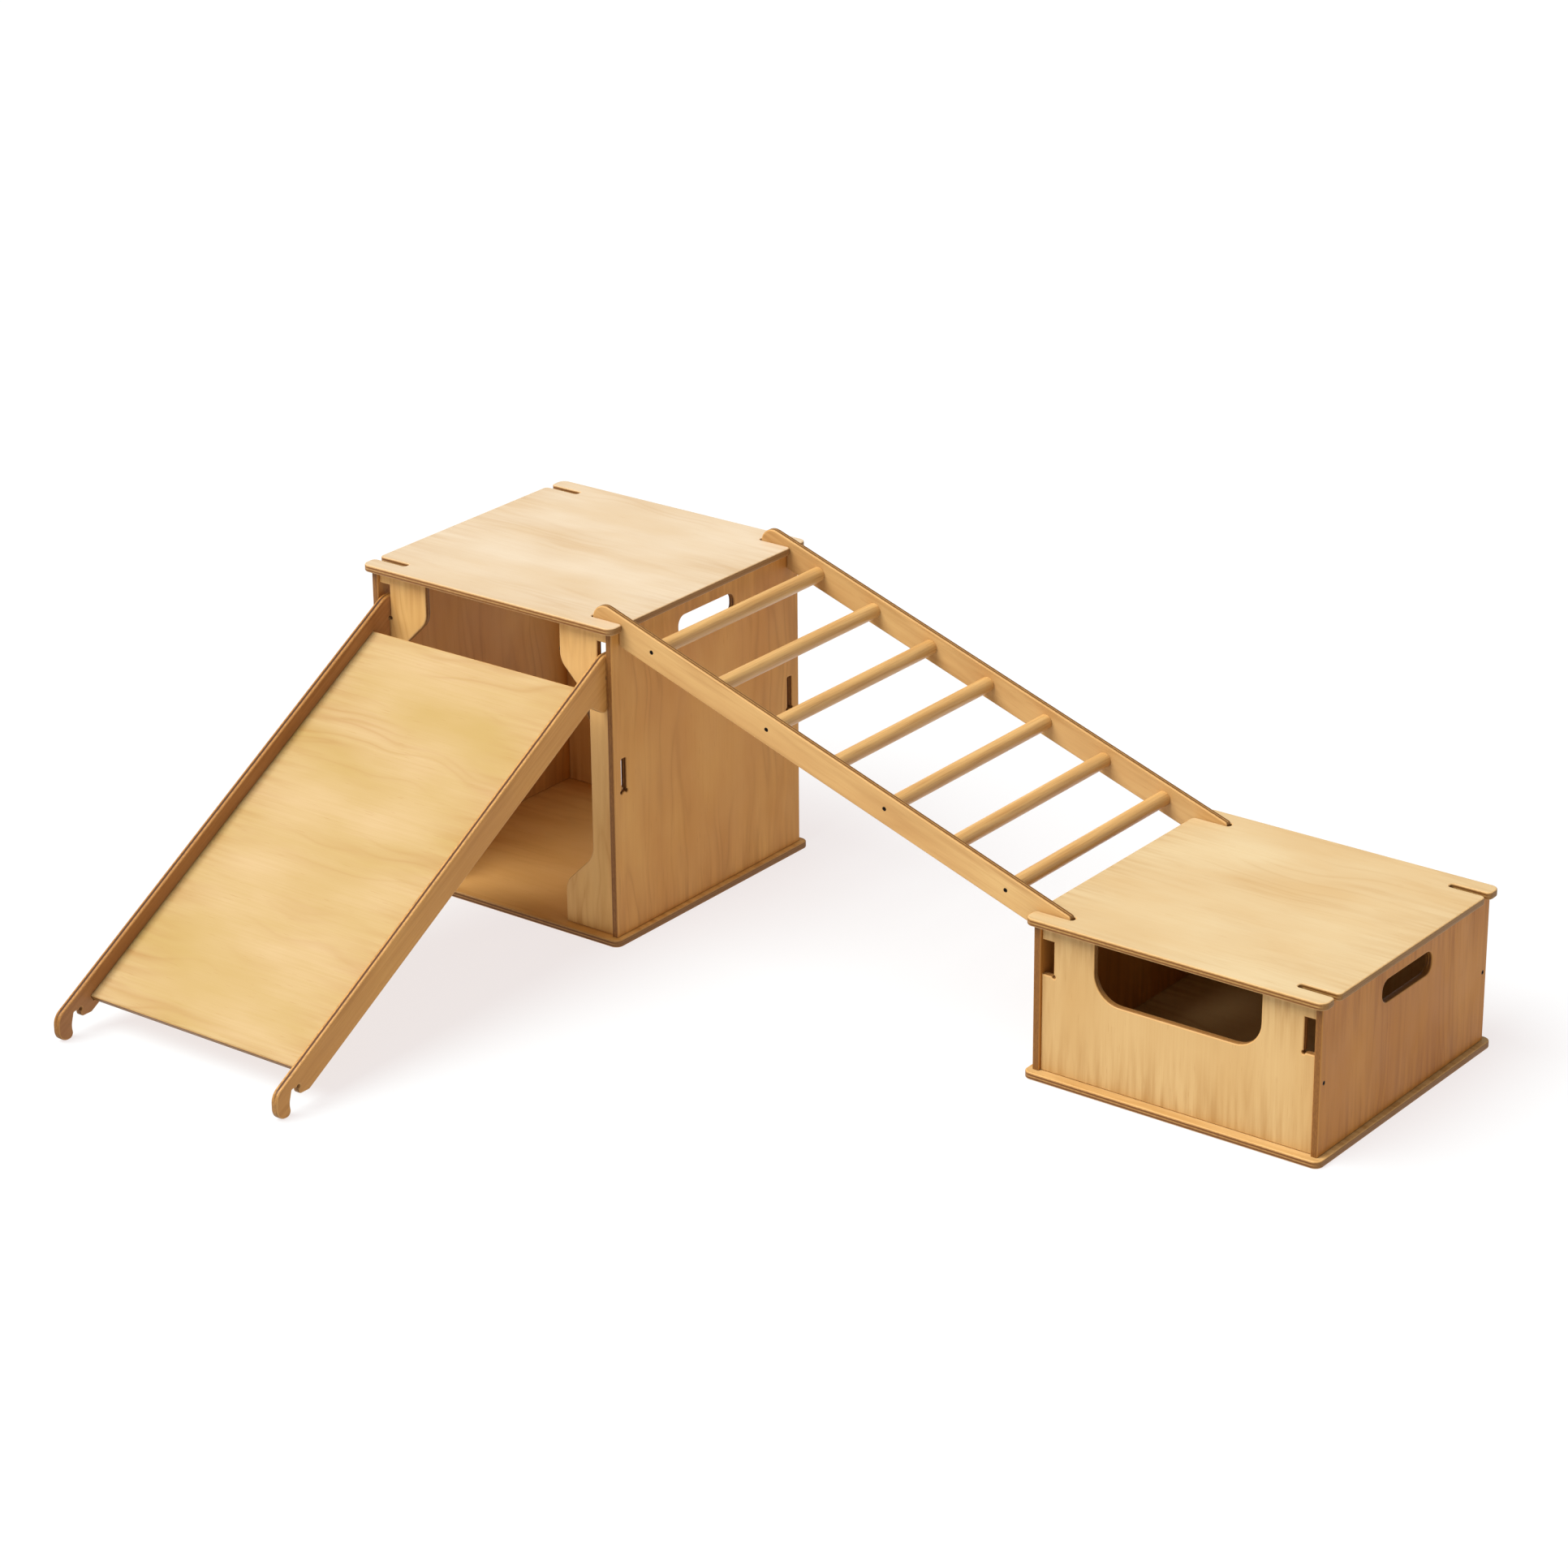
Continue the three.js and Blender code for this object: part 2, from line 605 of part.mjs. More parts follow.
const group = new THREE.Group();
const towerGroup = tower();
towerGroup.position.x = -BOX_W;
const lowBoxGroup = lowBox();
lowBoxGroup.position.x = SPAN;
group.add(towerGroup, lowBoxGroup, ladder(), slide());
group.position.set(-(reachX[0] + reachX[1]) / 2, -(reachY[0] + reachY[1]) / 2, 0);

export default group;
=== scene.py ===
"""Looks of the plywood climbing and sliding set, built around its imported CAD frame.

Every board is rebuilt with its edges rounded over, so that the plies show where the cutter went
through them; rungs and screws are turned surfaces. Sizes are in millimetres until a mesh is made.
"""
import logging
import math
from collections.abc import Sequence
from dataclasses import dataclass, field
from enum import Enum

import bpy
import numpy as np
from mathutils import Euler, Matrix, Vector
from mathutils.geometry import tessellate_polygon


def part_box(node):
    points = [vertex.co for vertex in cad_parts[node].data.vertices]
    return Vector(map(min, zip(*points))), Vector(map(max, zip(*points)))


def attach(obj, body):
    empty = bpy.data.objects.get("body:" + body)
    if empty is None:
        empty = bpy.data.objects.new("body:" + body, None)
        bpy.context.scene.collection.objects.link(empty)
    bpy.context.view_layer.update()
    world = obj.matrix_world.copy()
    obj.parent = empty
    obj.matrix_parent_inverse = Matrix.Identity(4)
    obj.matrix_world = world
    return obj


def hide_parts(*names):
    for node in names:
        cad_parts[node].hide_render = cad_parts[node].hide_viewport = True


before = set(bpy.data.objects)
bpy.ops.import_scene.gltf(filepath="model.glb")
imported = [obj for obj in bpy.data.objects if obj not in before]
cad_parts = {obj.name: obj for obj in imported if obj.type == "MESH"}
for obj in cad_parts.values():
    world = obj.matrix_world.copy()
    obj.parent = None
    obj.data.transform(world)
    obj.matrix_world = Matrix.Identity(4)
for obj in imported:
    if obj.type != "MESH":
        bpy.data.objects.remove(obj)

log = logging.getLogger("play_set")

MM = 0.001
# Thickness of the sheet, and how far its edges are rounded over.
PLY = 12.0
ARRIS = 2.2
# Straight pieces in a rounded corner, and in half of a rounded-over edge.
ARC_STEPS = 10
ARRIS_STEPS = 4
# Air between pieces that rest on each other.
FIT = 0.3


# ------------------------------------------------------------------------------ colour and nodes

Socket = bpy.types.NodeSocket
Colour = tuple[float, float, float, float]


def linear(code: str) -> Colour:
    """Linear colour of an sRGB hex code.

    Args:
        code: six hex digits, with or without a leading #.

    Returns:
        Red, green, blue and alpha, each from 0 to 1.
    """
    srgb = np.array([int(code.lstrip("#")[i : i + 2], 16) / 255 for i in (0, 2, 4)])
    rgb = np.where(srgb <= 0.04045, srgb / 12.92, ((srgb + 0.055) / 1.055) ** 2.4)
    return (*rgb.tolist(), 1.0)


def grey(level: float) -> Colour:
    """Opaque grey of one level, for colour ramps that carry a number."""
    return (level, level, level, 1.0)


def add_node(
    tree: bpy.types.NodeTree,
    kind: str,
    inputs: dict | None = None,
    stops: Sequence[tuple[float, Colour | float]] = (),
    **settings: object,
) -> bpy.types.Node:
    """Adds a node with its settings, values and links.

    Args:
        tree: node tree that gets the node.
        kind: the node's type after "ShaderNode", such as "Math".
        inputs: socket name or number to a value, or to the output socket that feeds it.
        stops: for a colour ramp, the position and the colour or grey level of each stop.
        settings: the node's own properties.

    Returns:
        The new node.
    """
    node = tree.nodes.new("ShaderNode" + kind)
    for name, value in settings.items():
        setattr(node, name, value)
    for key, value in (inputs or {}).items():
        if isinstance(value, Socket):
            tree.links.new(value, node.inputs[key])
        else:
            node.inputs[key].default_value = value
    if stops:
        elements = node.color_ramp.elements
        while len(elements) < len(stops):
            elements.new(1.0)
        for element, (position, level) in zip(elements, stops):
            element.position = position
            element.color = level if isinstance(level, tuple) else grey(level)
    return node


def start_material(name: str) -> tuple[bpy.types.Material, bpy.types.NodeTree]:
    """New material with an empty node tree.

    Args:
        name: the material's name.

    Returns:
        The material and its tree.
    """
    material = bpy.data.materials.new(name)
    material.use_nodes = True
    material.node_tree.nodes.clear()
    return material, material.node_tree


def shade(
    tree: bpy.types.NodeTree,
    colour: Socket,
    rub: Socket,
    rough: tuple[float, float],
    relief: Socket,
    lift: tuple[float, float],
    values: dict[str, float],
    reach: tuple[float, float] = (0.25, 0.75),
) -> None:
    """Ends a material: its roughness drifts between two limits and a fine relief lifts it.

    Args:
        tree: the material's node tree.
        colour: the surface's colour.
        rub: noise that the roughness follows.
        rough: roughness at the two ends of reach.
        relief: noise that lifts the surface.
        lift: the relief's strength, and its height in metres.
        values: plain values of the shader's other sockets.
        reach: lowest and highest value of rub that count.
    """
    span = {0: rub, 1: reach[0], 2: reach[1], 3: rough[0], 4: rough[1]}
    bump = {"Strength": lift[0], "Distance": lift[1], "Height": relief}
    sockets = {
        "Base Color": colour,
        "Roughness": add_node(tree, "MapRange", span).outputs[0],
        "Normal": add_node(tree, "Bump", bump).outputs[0],
        **values,
    }
    shader = add_node(tree, "BsdfPrincipled", sockets).outputs[0]
    add_node(tree, "OutputMaterial", {"Surface": shader})


@dataclass(frozen=True)
class Veneer:
    """A board finish in the making: its nodes, and the sockets that place a point on the sheet."""

    tree: bpy.types.NodeTree
    sheet: Socket
    batch: Socket

    def grain(
        self, along_mm: float, across_mm: float, detail: float = 2.0, place: Socket | None = None
    ) -> Socket:
        """Noise stretched along the grain.

        Args:
            along_mm: length of a cell along the grain.
            across_mm: its width across the grain and in depth.
            detail: levels of finer noise.
            place: where to read it, the sheet if left out.

        Returns:
            The noise, from 0 to 1.
        """
        scale = (1 / (along_mm * MM), 1 / (across_mm * MM), 1 / (across_mm * MM))
        source = {0: self.sheet if place is None else place, 1: scale}
        stretched = add_node(self.tree, "VectorMath", source, operation="MULTIPLY").outputs[0]
        values = {"Vector": stretched, "W": self.batch, "Scale": 1.0, "Detail": detail}
        return add_node(self.tree, "TexNoise", values, noise_dimensions="4D").outputs["Fac"]

    def marks(
        self, along_mm: float, across_mm: float, detail: float, *stops: tuple[float, float]
    ) -> Socket:
        """Grain noise, reshaped by straight pieces between (input, output) stops."""
        noise = self.grain(along_mm, across_mm, detail)
        return add_node(self.tree, "ValToRGB", {0: noise}, stops=stops).outputs[0]

    def tint(
        self, tone: Socket | Colour, colour: Socket | Colour, pattern: Socket, weight: float = 1.0
    ) -> Socket:
        """Tone turned towards a colour where the pattern shows, at most by weight."""
        share = add_node(self.tree, "Math", {0: pattern, 1: weight}, operation="MULTIPLY").outputs[0]
        return add_node(self.tree, "Mix", {0: share, 6: tone, 7: colour}, data_type="RGBA").outputs[2]


@dataclass(frozen=True)
class PlywoodFinish:
    """Birch plywood, sanded, rounded over and oiled.

    Rotary-cut veneer shows wandering contour figure on the face; the rounded edge shows the plies
    as light and dark lines. Oil gives a warm colour and a satin sheen.
    """

    name: str
    pale: str
    deep: str
    streak: str
    line_light: str
    line_dark: str
    # Colour of the painted highlight along the rounded-over edge.
    rim: str
    figure: float = 0.5
    flecks: float = 0.35
    edge_darkening: float = 0.62
    roughness: float = 0.46
    coat: float = 0.03
    fibres: float = 0.42

    # Five bands of 2.4 mm stand for nine plies of 1.3 mm, which are too fine to show.
    bands: int = 5
    contour_mm: float = 800.0
    contours: float = 9.0
    sway: float = 0.07
    # Veneer's fibres are finer than 0.1 mm; bundles this wide are the narrowest that show.
    fibre_mm: float = 2.6
    # How far the darker streaks run in from a board's ends and from its sides.
    end_darkening_mm: float = 110.0
    side_soil_mm: float = 35.0
    # How far the glue lines stray from level, in metres.
    wander: float = 0.0004

    def build(self) -> bpy.types.Material:
        """Builds the material on the boards' "sheet", "reach", "batch", "end_grain" and "rim"."""
        material, tree = start_material(self.name)
        sheet = add_node(tree, "Attribute", attribute_name="sheet").outputs["Vector"]
        batch = add_node(tree, "Attribute", attribute_name="batch").outputs["Fac"]
        on = Veneer(tree, sheet, batch)
        depth = add_node(tree, "SeparateXYZ", {0: sheet}).outputs["Z"]
        colour = self._layers(on, depth, self._face(on), self._edge(on, depth))
        shine = {"Specular IOR Level": 0.18, "Coat Weight": self.coat, "Coat Roughness": 0.3}
        rough = (self.roughness - 0.09, self.roughness + 0.12)
        shade(tree, colour, on.grain(90, 60, 4), rough, on.grain(60, 1.2, 3), (0.22, 0.0004), shine)
        return material

    def _face(self, on: Veneer) -> Socket:
        """Face veneer: drifting tone, contour figure, fibres, darker streaks near the ends and sides, and
        short dark flecks.

        The figure's lines are the level lines of a slow noise, read at places that sway.

        Args:
            on: the finish in the making.

        Returns:
            The face's colour.
        """
        tree = on.tree
        pale, deep, streak = (linear(code) for code in (self.pale, self.deep, self.streak))
        tone = on.tint(pale, deep, on.marks(260, 110, 3, (0.32, 0), (0.68, 1)))
        sway = {0: on.grain(190, 300, 1), 1: self.sway}
        shift = {"Y": add_node(tree, "Math", sway, operation="MULTIPLY").outputs[0]}
        moved = {0: on.sheet, 1: add_node(tree, "CombineXYZ", shift).outputs[0]}
        place = add_node(tree, "VectorMath", moved, operation="ADD").outputs[0]
        level = {0: on.grain(self.contour_mm, 62, 2, place), 1: self.contours}
        level = {0: add_node(tree, "Math", level, operation="MULTIPLY").outputs[0]}
        saw = {0: add_node(tree, "Math", level, operation="FRACT").outputs[0]}
        line_stops = [(0, 0.9), (0.16, 0.3), (0.5, 0), (0.84, 0.3), (1, 0.9)]
        line = add_node(tree, "ValToRGB", saw, stops=line_stops).outputs[0]
        patch = {0: line, 1: on.marks(330, 160, 1, (0.46, 0.06), (0.62, 1))}
        contour = add_node(tree, "Math", patch, operation="MULTIPLY").outputs[0]
        tone = on.tint(tone, streak, contour, self.figure)
        fibre = on.marks(130, self.fibre_mm, 3, (0.4, 0), (0.75, 1))
        tone = on.tint(tone, deep, fibre, self.fibres)
        # Darker streaks towards the board's ends and sides.
        tone = on.tint(tone, streak, self._darker_near_edges(on), self.edge_darkening)
        return on.tint(tone, streak, on.marks(34, 1.7, 1, (0.69, 0), (0.76, 1)), self.flecks)

    def _darker_near_edges(self, on: Veneer) -> Socket:
        """Darker streaks that run in from the board's ends and sides.

        Args:
            on: the finish in the making.

        Returns:
            How dark the streaks make the face, from 0 to 1.
        """
        tree = on.tree
        reach = add_node(tree, "Attribute", attribute_name="reach").outputs["Vector"]
        place = add_node(tree, "VectorMath", {0: on.sheet}, operation="ABSOLUTE").outputs[0]
        left = add_node(tree, "VectorMath", {0: reach, 1: place}, operation="SUBTRACT").outputs[0]
        split = add_node(tree, "SeparateXYZ", {0: left}).outputs
        near = []
        for axis, width, most in (("X", self.end_darkening_mm, 1.0), ("Y", self.side_soil_mm, 0.8)):
            fade = {0: split[axis], 2: width * MM, 3: most, 4: 0.0}
            near.append(add_node(tree, "MapRange", fade).outputs[0])
        nearest = add_node(tree, "Math", {0: near[0], 1: near[1]}, operation="MAXIMUM").outputs[0]
        both = {0: nearest, 1: on.marks(120, 9, 3, (0.42, 0), (0.66, 1))}
        return add_node(tree, "Math", both, operation="MULTIPLY").outputs[0]

    def _edge(self, on: Veneer, depth: Socket) -> Socket:
        """Cut edge: plies lie grain and cross-grain in turn, so they come out light and dark.

        Args:
            on: the finish in the making.
            depth: depth in the sheet, in metres.

        Returns:
            The edge's colour.
        """
        tree = on.tree
        light, dark = linear(self.line_light), linear(self.line_dark)
        stray = {0: on.grain(120, 120, 1), 1: self.wander, 2: depth}
        level = add_node(tree, "Math", stray, operation="MULTIPLY_ADD").outputs[0]
        count = {0: level, 1: self.bands / (PLY * MM), 2: 0.5}
        band = add_node(tree, "Math", count, operation="MULTIPLY_ADD").outputs[0]
        odd = {0: add_node(tree, "Math", {0: band, 1: 1.0}, operation="PINGPONG").outputs[0]}
        cross = add_node(tree, "ValToRGB", odd, stops=[(0.4, 1), (0.6, 0)]).outputs[0]
        end = add_node(tree, "Attribute", attribute_name="end_grain").outputs["Fac"]
        turned = {0: end, 1: -0.6, 2: cross}
        flipped = {0: add_node(tree, "Math", turned, operation="MULTIPLY_ADD").outputs[0]}
        share = add_node(tree, "Math", flipped, operation="ABSOLUTE").outputs[0]
        speckled = on.tint(light, dark, on.marks(5, 1.5, 2, (0.35, 0), (0.75, 0.6)))
        return on.tint(speckled, dark, share)

    def _layers(self, on: Veneer, depth: Socket, face: Socket, edge: Socket) -> Socket:
        """Face veneer within one band of either face, plies between, and a painted highlight on the rim.

        Args:
            on: the finish in the making.
            depth: depth in the sheet, in metres.
            face: the face's colour.
            edge: the cut edge's colour.

        Returns:
            The board's colour.
        """
        tree = on.tree
        from_middle = {0: depth, 1: 2 / (PLY * MM), 2: -1.0}
        signed = {0: add_node(tree, "Math", from_middle, operation="MULTIPLY_ADD").outputs[0]}
        share = {0: add_node(tree, "Math", signed, operation="ABSOLUTE").outputs[0]}
        core = add_node(tree, "ValToRGB", share, stops=[(0.8, 1), (0.92, 0)]).outputs[0]
        # The rim colour is a painted highlight laid over the rounded-over edge.
        rim = add_node(tree, "Attribute", attribute_name="rim").outputs["Fac"]
        return on.tint(on.tint(face, edge, core), linear(self.rim), rim, 0.7)


@dataclass(frozen=True)
class TurnedWoodFinish:
    """Round hardwood stock, sanded and oiled: straight fibres along the rod, a satin sheen."""

    name: str
    pale: str
    deep: str
    fleck: str
    axis: int
    roughness: float = 0.38

    def build(self) -> bpy.types.Material:
        """Builds the material on Object coordinates, with the grain along the given axis."""
        material, tree = start_material(self.name)
        place = add_node(tree, "TexCoord").outputs["Object"]

        def grain(along_mm: float, across_mm: float, detail: float) -> Socket:
            """Noise stretched along the rod.

            Args:
                along_mm: length of a cell along the rod.
                across_mm: its width.
                detail: levels of finer noise.

            Returns:
                The noise, from 0 to 1.
            """
            scale = [1 / (across_mm * MM)] * 3
            scale[self.axis] = 1 / (along_mm * MM)
            mapped = add_node(tree, "Mapping", {"Vector": place, "Scale": scale}).outputs[0]
            values = {"Vector": mapped, "Scale": 1.0, "Detail": detail}
            return add_node(tree, "TexNoise", values).outputs["Fac"]

        tones = [(0.3, linear(self.pale)), (0.7, linear(self.deep))]
        tone = add_node(tree, "ValToRGB", {0: grain(240, 14, 3)}, stops=tones).outputs[0]
        streaks = add_node(tree, "ValToRGB", {0: grain(90, 1.8, 3)}, stops=[(0.45, 0), (0.8, 0.55)])
        both = {0: streaks.outputs[0], 6: tone, 7: linear(self.fleck)}
        colour = add_node(tree, "Mix", both, data_type="RGBA").outputs[2]
        shine = {"Specular IOR Level": 0.35, "Coat Weight": 0.12, "Coat Roughness": 0.25}
        rough = (self.roughness - 0.08, self.roughness + 0.1)
        shade(tree, colour, grain(60, 30, 3), rough, grain(50, 1.0, 2), (0.2, 0.0003), shine)
        return material


@dataclass(frozen=True)
class ScrewFinish:
    """Blackened steel screw: dark, softly shining, rubbed brighter in fine blotches all over."""

    name: str
    dark: str
    worn: str
    roughness: float = 0.36

    def build(self) -> bpy.types.Material:
        """Builds the metal from fine noise on Object coordinates."""
        material, tree = start_material(self.name)
        place = add_node(tree, "TexCoord").outputs["Object"]
        values = {"Vector": place, "Scale": 900.0, "Detail": 3.0}
        blotch = add_node(tree, "TexNoise", values).outputs["Fac"]
        tones = [(0.45, linear(self.dark)), (0.8, linear(self.worn))]
        colour = add_node(tree, "ValToRGB", {0: blotch}, stops=tones).outputs[0]
        rough = (self.roughness, self.roughness + 0.2)
        lift = (0.25, 0.0001)
        shade(tree, colour, blotch, rough, blotch, lift, {"Metallic": 0.9}, reach=(0.3, 0.7))
        return material


class Look(Enum):
    """Finishes of the set's pieces.

    A plywood's colours come in the order pale veneer, deep veneer, streaks, light plies, dark
    plies, painted rim highlight.
    """

    # Top panels: almost white veneer with faint, wide figure and clean edges; the paleness is partly the
    # veneer and partly painted light and sheen for a face lit from above.
    TOP = PlywoodFinish(
        "oiled_birch_ply_pale", "#cab89e", "#c0a784", "#aa8559", "#b08955", "#774b26", "#cda572",
        figure=0.3, edge_darkening=0.3, fibres=0.28,
    )
    # The low box's top, the same veneer from a yellower sheet, also painted pale with light and sheen for
    # a face lit from above.
    TOP_WARM = PlywoodFinish(
        "oiled_birch_ply_straw", "#c6b088", "#bd9f71", "#a67f4b", "#ab834a", "#704620", "#c89c62",
        figure=0.3, edge_darkening=0.35, fibres=0.3,
    )
    # The low box's front, back and bottom: honey veneer with brown streaks at its ends.
    FRONT = PlywoodFinish(
        "oiled_birch_ply_honey", "#c5a26d", "#bb945d", "#9d7038", "#a77b45", "#673e1b", "#c99b5e"
    )
    # The tower's bottom, warm and light over a brown edge; painted lighter so that the floor inside the
    # tower looks lit.
    BASE = PlywoodFinish(
        "oiled_birch_ply_base", "#e7b56e", "#dca65c", "#b97d38", "#a27643", "#623c1a", "#b68b57"
    )
    # The tower's posts, the lightest upright boards, painted lighter for the light that falls on them.
    POST = PlywoodFinish(
        "oiled_birch_ply_post", "#deb375", "#d2a564", "#b17c3d", "#b0844e", "#704621", "#cfa268"
    )
    # The low box's sides: amber, the deepest colour of the set, with strong streaks; the depth of colour
    # is painted shade for the shaded side faces.
    SIDE = PlywoodFinish(
        "oiled_birch_ply_amber", "#c3853d", "#b3732f", "#915721", "#98662e", "#5a3313", "#b98446"
    )
    # The tower's sides: a lighter, calmer amber, darkened with painted shade for the shaded side faces,
    # less than the low box's.
    SIDE_LIGHT = PlywoodFinish(
        "oiled_birch_ply_light_amber", "#d59e54", "#c48843", "#9f682f", "#a16f39", "#613a19", "#c08c50",
        edge_darkening=0.4, fibres=0.3,
    )
    # The slide's bed: smoother and shinier than the rest, with large rolling figure.
    BED = PlywoodFinish(
        "lacquered_birch_ply_bed", "#b89c71", "#aa8d53", "#986932", "#a47841", "#5f3c19", "#bf8f55",
        figure=0.45, roughness=0.38, coat=0.1, contours=6.0, sway=0.1, edge_darkening=0.35,
    )
    # Ladder rails and battens: narrow strips on which the fibres show more than the figure.
    RAIL = PlywoodFinish(
        "oiled_birch_ply_rail", "#c9a36a", "#bc9059", "#986937", "#ad8148", "#623e1c", "#c99c60",
        figure=0.35, fibres=0.6,
    )
    # The slide's left rail, darkened with painted shade for the shade on its inner face, with broad dark
    # plies.
    RAIL_AGED = PlywoodFinish(
        "oiled_birch_ply_rail_painted_shade", "#b27f4d", "#a46f40", "#845026", "#ae7737", "#42240a", "#b08048",
        figure=0.35, fibres=0.8, bands=3,
    )
    # The slide's right rail, painted lighter for the light on its outer face, with the same broad plies.
    RAIL_LIT = PlywoodFinish(
        "oiled_birch_ply_rail_painted_light", "#ce9853", "#bf8646", "#9a622a", "#c49151", "#502e11", "#c0935a",
        figure=0.35, fibres=0.8, bands=3,
    )
    # Rungs: warm straight-grained rods with a soft highlight along them.
    RUNG = TurnedWoodFinish("oiled_hardwood_rung", "#d0a668", "#bc8d50", "#986531", axis=1)
    # Dowel pins: bare, dull wood.
    PIN = TurnedWoodFinish("bare_beech_pin", "#c6a273", "#b48a58", "#94683c", axis=2, roughness=0.6)
    # Screws: small dark dots that catch a little light on their rims.
    SCREW = ScrewFinish("blackened_steel_screw", "#1d1916", "#54493f")

    def material(self) -> bpy.types.Material:
        """The finish's material, built on first use."""
        return bpy.data.materials.get(self.value.name) or self.value.build()


# ------------------------------------------------------------------------------ outlines


def unit(rows: np.ndarray) -> np.ndarray:
    """Each row divided by its length."""
    return rows / np.maximum(np.linalg.norm(rows, axis=-1, keepdims=True), 1e-12)


def wrapped(angle: np.ndarray) -> np.ndarray:
    """Angle brought into the half-open turn from -pi to pi."""
    return (angle + np.pi) % (2 * np.pi) - np.pi


def rounded(corners: Sequence[tuple[float, float, float]], steps: int = ARC_STEPS) -> np.ndarray:
    """Closed outline through corners, each with its own rounding.

    A corner of radius r > 0 becomes the arc that touches both sides: its centre lies on the
    bisector, r / sin(half the corner's angle) from the corner. A corner of r < 0 becomes the long
    arc of radius -r about the corner itself, the pocket that a round cutter leaves. Every arc is
    centre + radius * (cos a, sin a), with a running evenly from its start to its end.

    Args:
        corners: x, y and r of each corner, in order.
        steps: straight pieces in each arc.

    Returns:
        Points of the outline, one row each.
    """
    table = np.array(corners, float)
    point, radius = table[:, :2], table[:, 2]
    back = unit(np.roll(point, 1, axis=0) - point)
    on = unit(np.roll(point, -1, axis=0) - point)
    half = np.arccos(np.clip((back * on).sum(1), -1, 1)) / 2
    fillet = (radius > 0)[:, None]
    centre = point + np.where(fillet, unit(back + on) * (radius / np.sin(half))[:, None], 0)
    reach = (radius / np.tan(half))[:, None]
    start = np.where(fillet, point + back * reach - centre, back)
    end = np.where(fillet, point + on * reach - centre, on)
    first = np.arctan2(start[:, 1], start[:, 0])
    sweep = wrapped(np.arctan2(end[:, 1], end[:, 0]) - first)
    sweep = np.where(radius < 0, sweep - np.sign(sweep) * 2 * np.pi, sweep)
    angle = first[:, None] + sweep[:, None] * np.linspace(0, 1, steps + 1)
    arc = np.stack([np.cos(angle), np.sin(angle)], axis=-1)
    points = (centre[:, None] + np.abs(radius)[:, None, None] * arc).reshape(-1, 2)
    step = np.linalg.norm(points - np.roll(points, 1, axis=0), axis=1)
    return points[step > 1e-4]


def rectangle(x0: float, y0: float, x1: float, y1: float, r: float = 0.0) -> list[tuple]:
    """Corners of a rectangle with equal roundings."""
    return [(x0, y0, r), (x1, y0, r), (x1, y1, r), (x0, y1, r)]


def circle(x: float, y: float, radius: float, sides: int = 24) -> np.ndarray:
    """Points centre + radius * (cos a, sin a) for a round hole."""
    angle = np.linspace(0, 2 * np.pi, sides, endpoint=False)
    return np.stack([x + radius * np.cos(angle), y + radius * np.sin(angle)], axis=1)


def turned_way(points: np.ndarray, anticlockwise: bool) -> np.ndarray:
    """Outline run in the asked direction, told by the sign of its area.

    Args:
        points: the outline, in either direction.
        anticlockwise: the asked direction.

    Returns:
        The same points, reversed if need be.
    """
    x, y = points.T
    area = (x * np.roll(y, -1) - y * np.roll(x, -1)).sum()
    return points if (area > 0) == anticlockwise else points[::-1]


def inset(points: np.ndarray, distance: np.ndarray) -> np.ndarray:
    """Outline moved to its left by each distance, with mitred corners.

    Each point moves along (n1 + n2) / (1 + n1.n2), where n1 and n2 are the left normals of the
    two sides that meet there, so that both sides move by exactly the distance.

    Args:
        points: outline, material on its left.
        distance: one distance for each ring.

    Returns:
        Rings by points by 2.
    """
    side = unit(np.roll(points, -1, axis=0) - points)
    normal = np.stack([-side[:, 1], side[:, 0]], axis=1)
    before = np.roll(normal, 1, axis=0)
    mitre = (before + normal) / (1 + (before * normal).sum(1, keepdims=True))
    return points + distance[:, None, None] * mitre


# ------------------------------------------------------------------------------ meshes


@dataclass
class Surface:
    """Closed mesh in the making: points in millimetres, faces, and values on face corners."""

    points: list[np.ndarray] = field(default_factory=list)
    faces: list[np.ndarray] = field(default_factory=list)
    count: int = 0

    def add(self, points: np.ndarray) -> np.ndarray:
        """Adds a block of points.

        Args:
            points: any shape ending in 3.

        Returns:
            The points' numbers, in the block's own shape.
        """
        number = np.arange(self.count, self.count + points[..., 0].size)
        self.points.append(points.reshape(-1, 3))
        self.count += number.size
        return number.reshape(points.shape[:-1])

    def strip(self, grid: np.ndarray) -> None:
        """Adds quads between the rows of a grid.

        Args:
            grid: point numbers, one closed ring in each row.
        """
        right = np.roll(grid, -1, axis=1)
        quads = np.stack([grid[:-1], right[:-1], right[1:], grid[1:]], axis=-1)
        self.faces.append(quads.reshape(-1, 4))

    def to_object(self, name: str) -> bpy.types.Object:
        """Makes the mesh object, in metres, with its place in its mesh.

        Args:
            name: the object's name.

        Returns:
            The object, linked to the scene.
        """
        points = np.concatenate(self.points) * MM
        loops = np.concatenate([f.ravel() for f in self.faces])
        sizes = np.concatenate([np.full(len(f), f.shape[1]) for f in self.faces])
        mesh = bpy.data.meshes.new(name)
        mesh.vertices.add(len(points))
        mesh.vertices.foreach_set("co", points.ravel())
        mesh.loops.add(len(loops))
        mesh.loops.foreach_set("vertex_index", loops.astype(np.int32))
        mesh.polygons.add(len(sizes))
        starts = np.concatenate([[0], np.cumsum(sizes)[:-1]])
        mesh.polygons.foreach_set("loop_start", starts.astype(np.int32))
        mesh.polygons.foreach_set("use_smooth", np.ones(len(sizes), bool))
        mesh.update(calc_edges=True)
        thing = bpy.data.objects.new(name, mesh)
        bpy.context.scene.collection.objects.link(thing)
        return thing


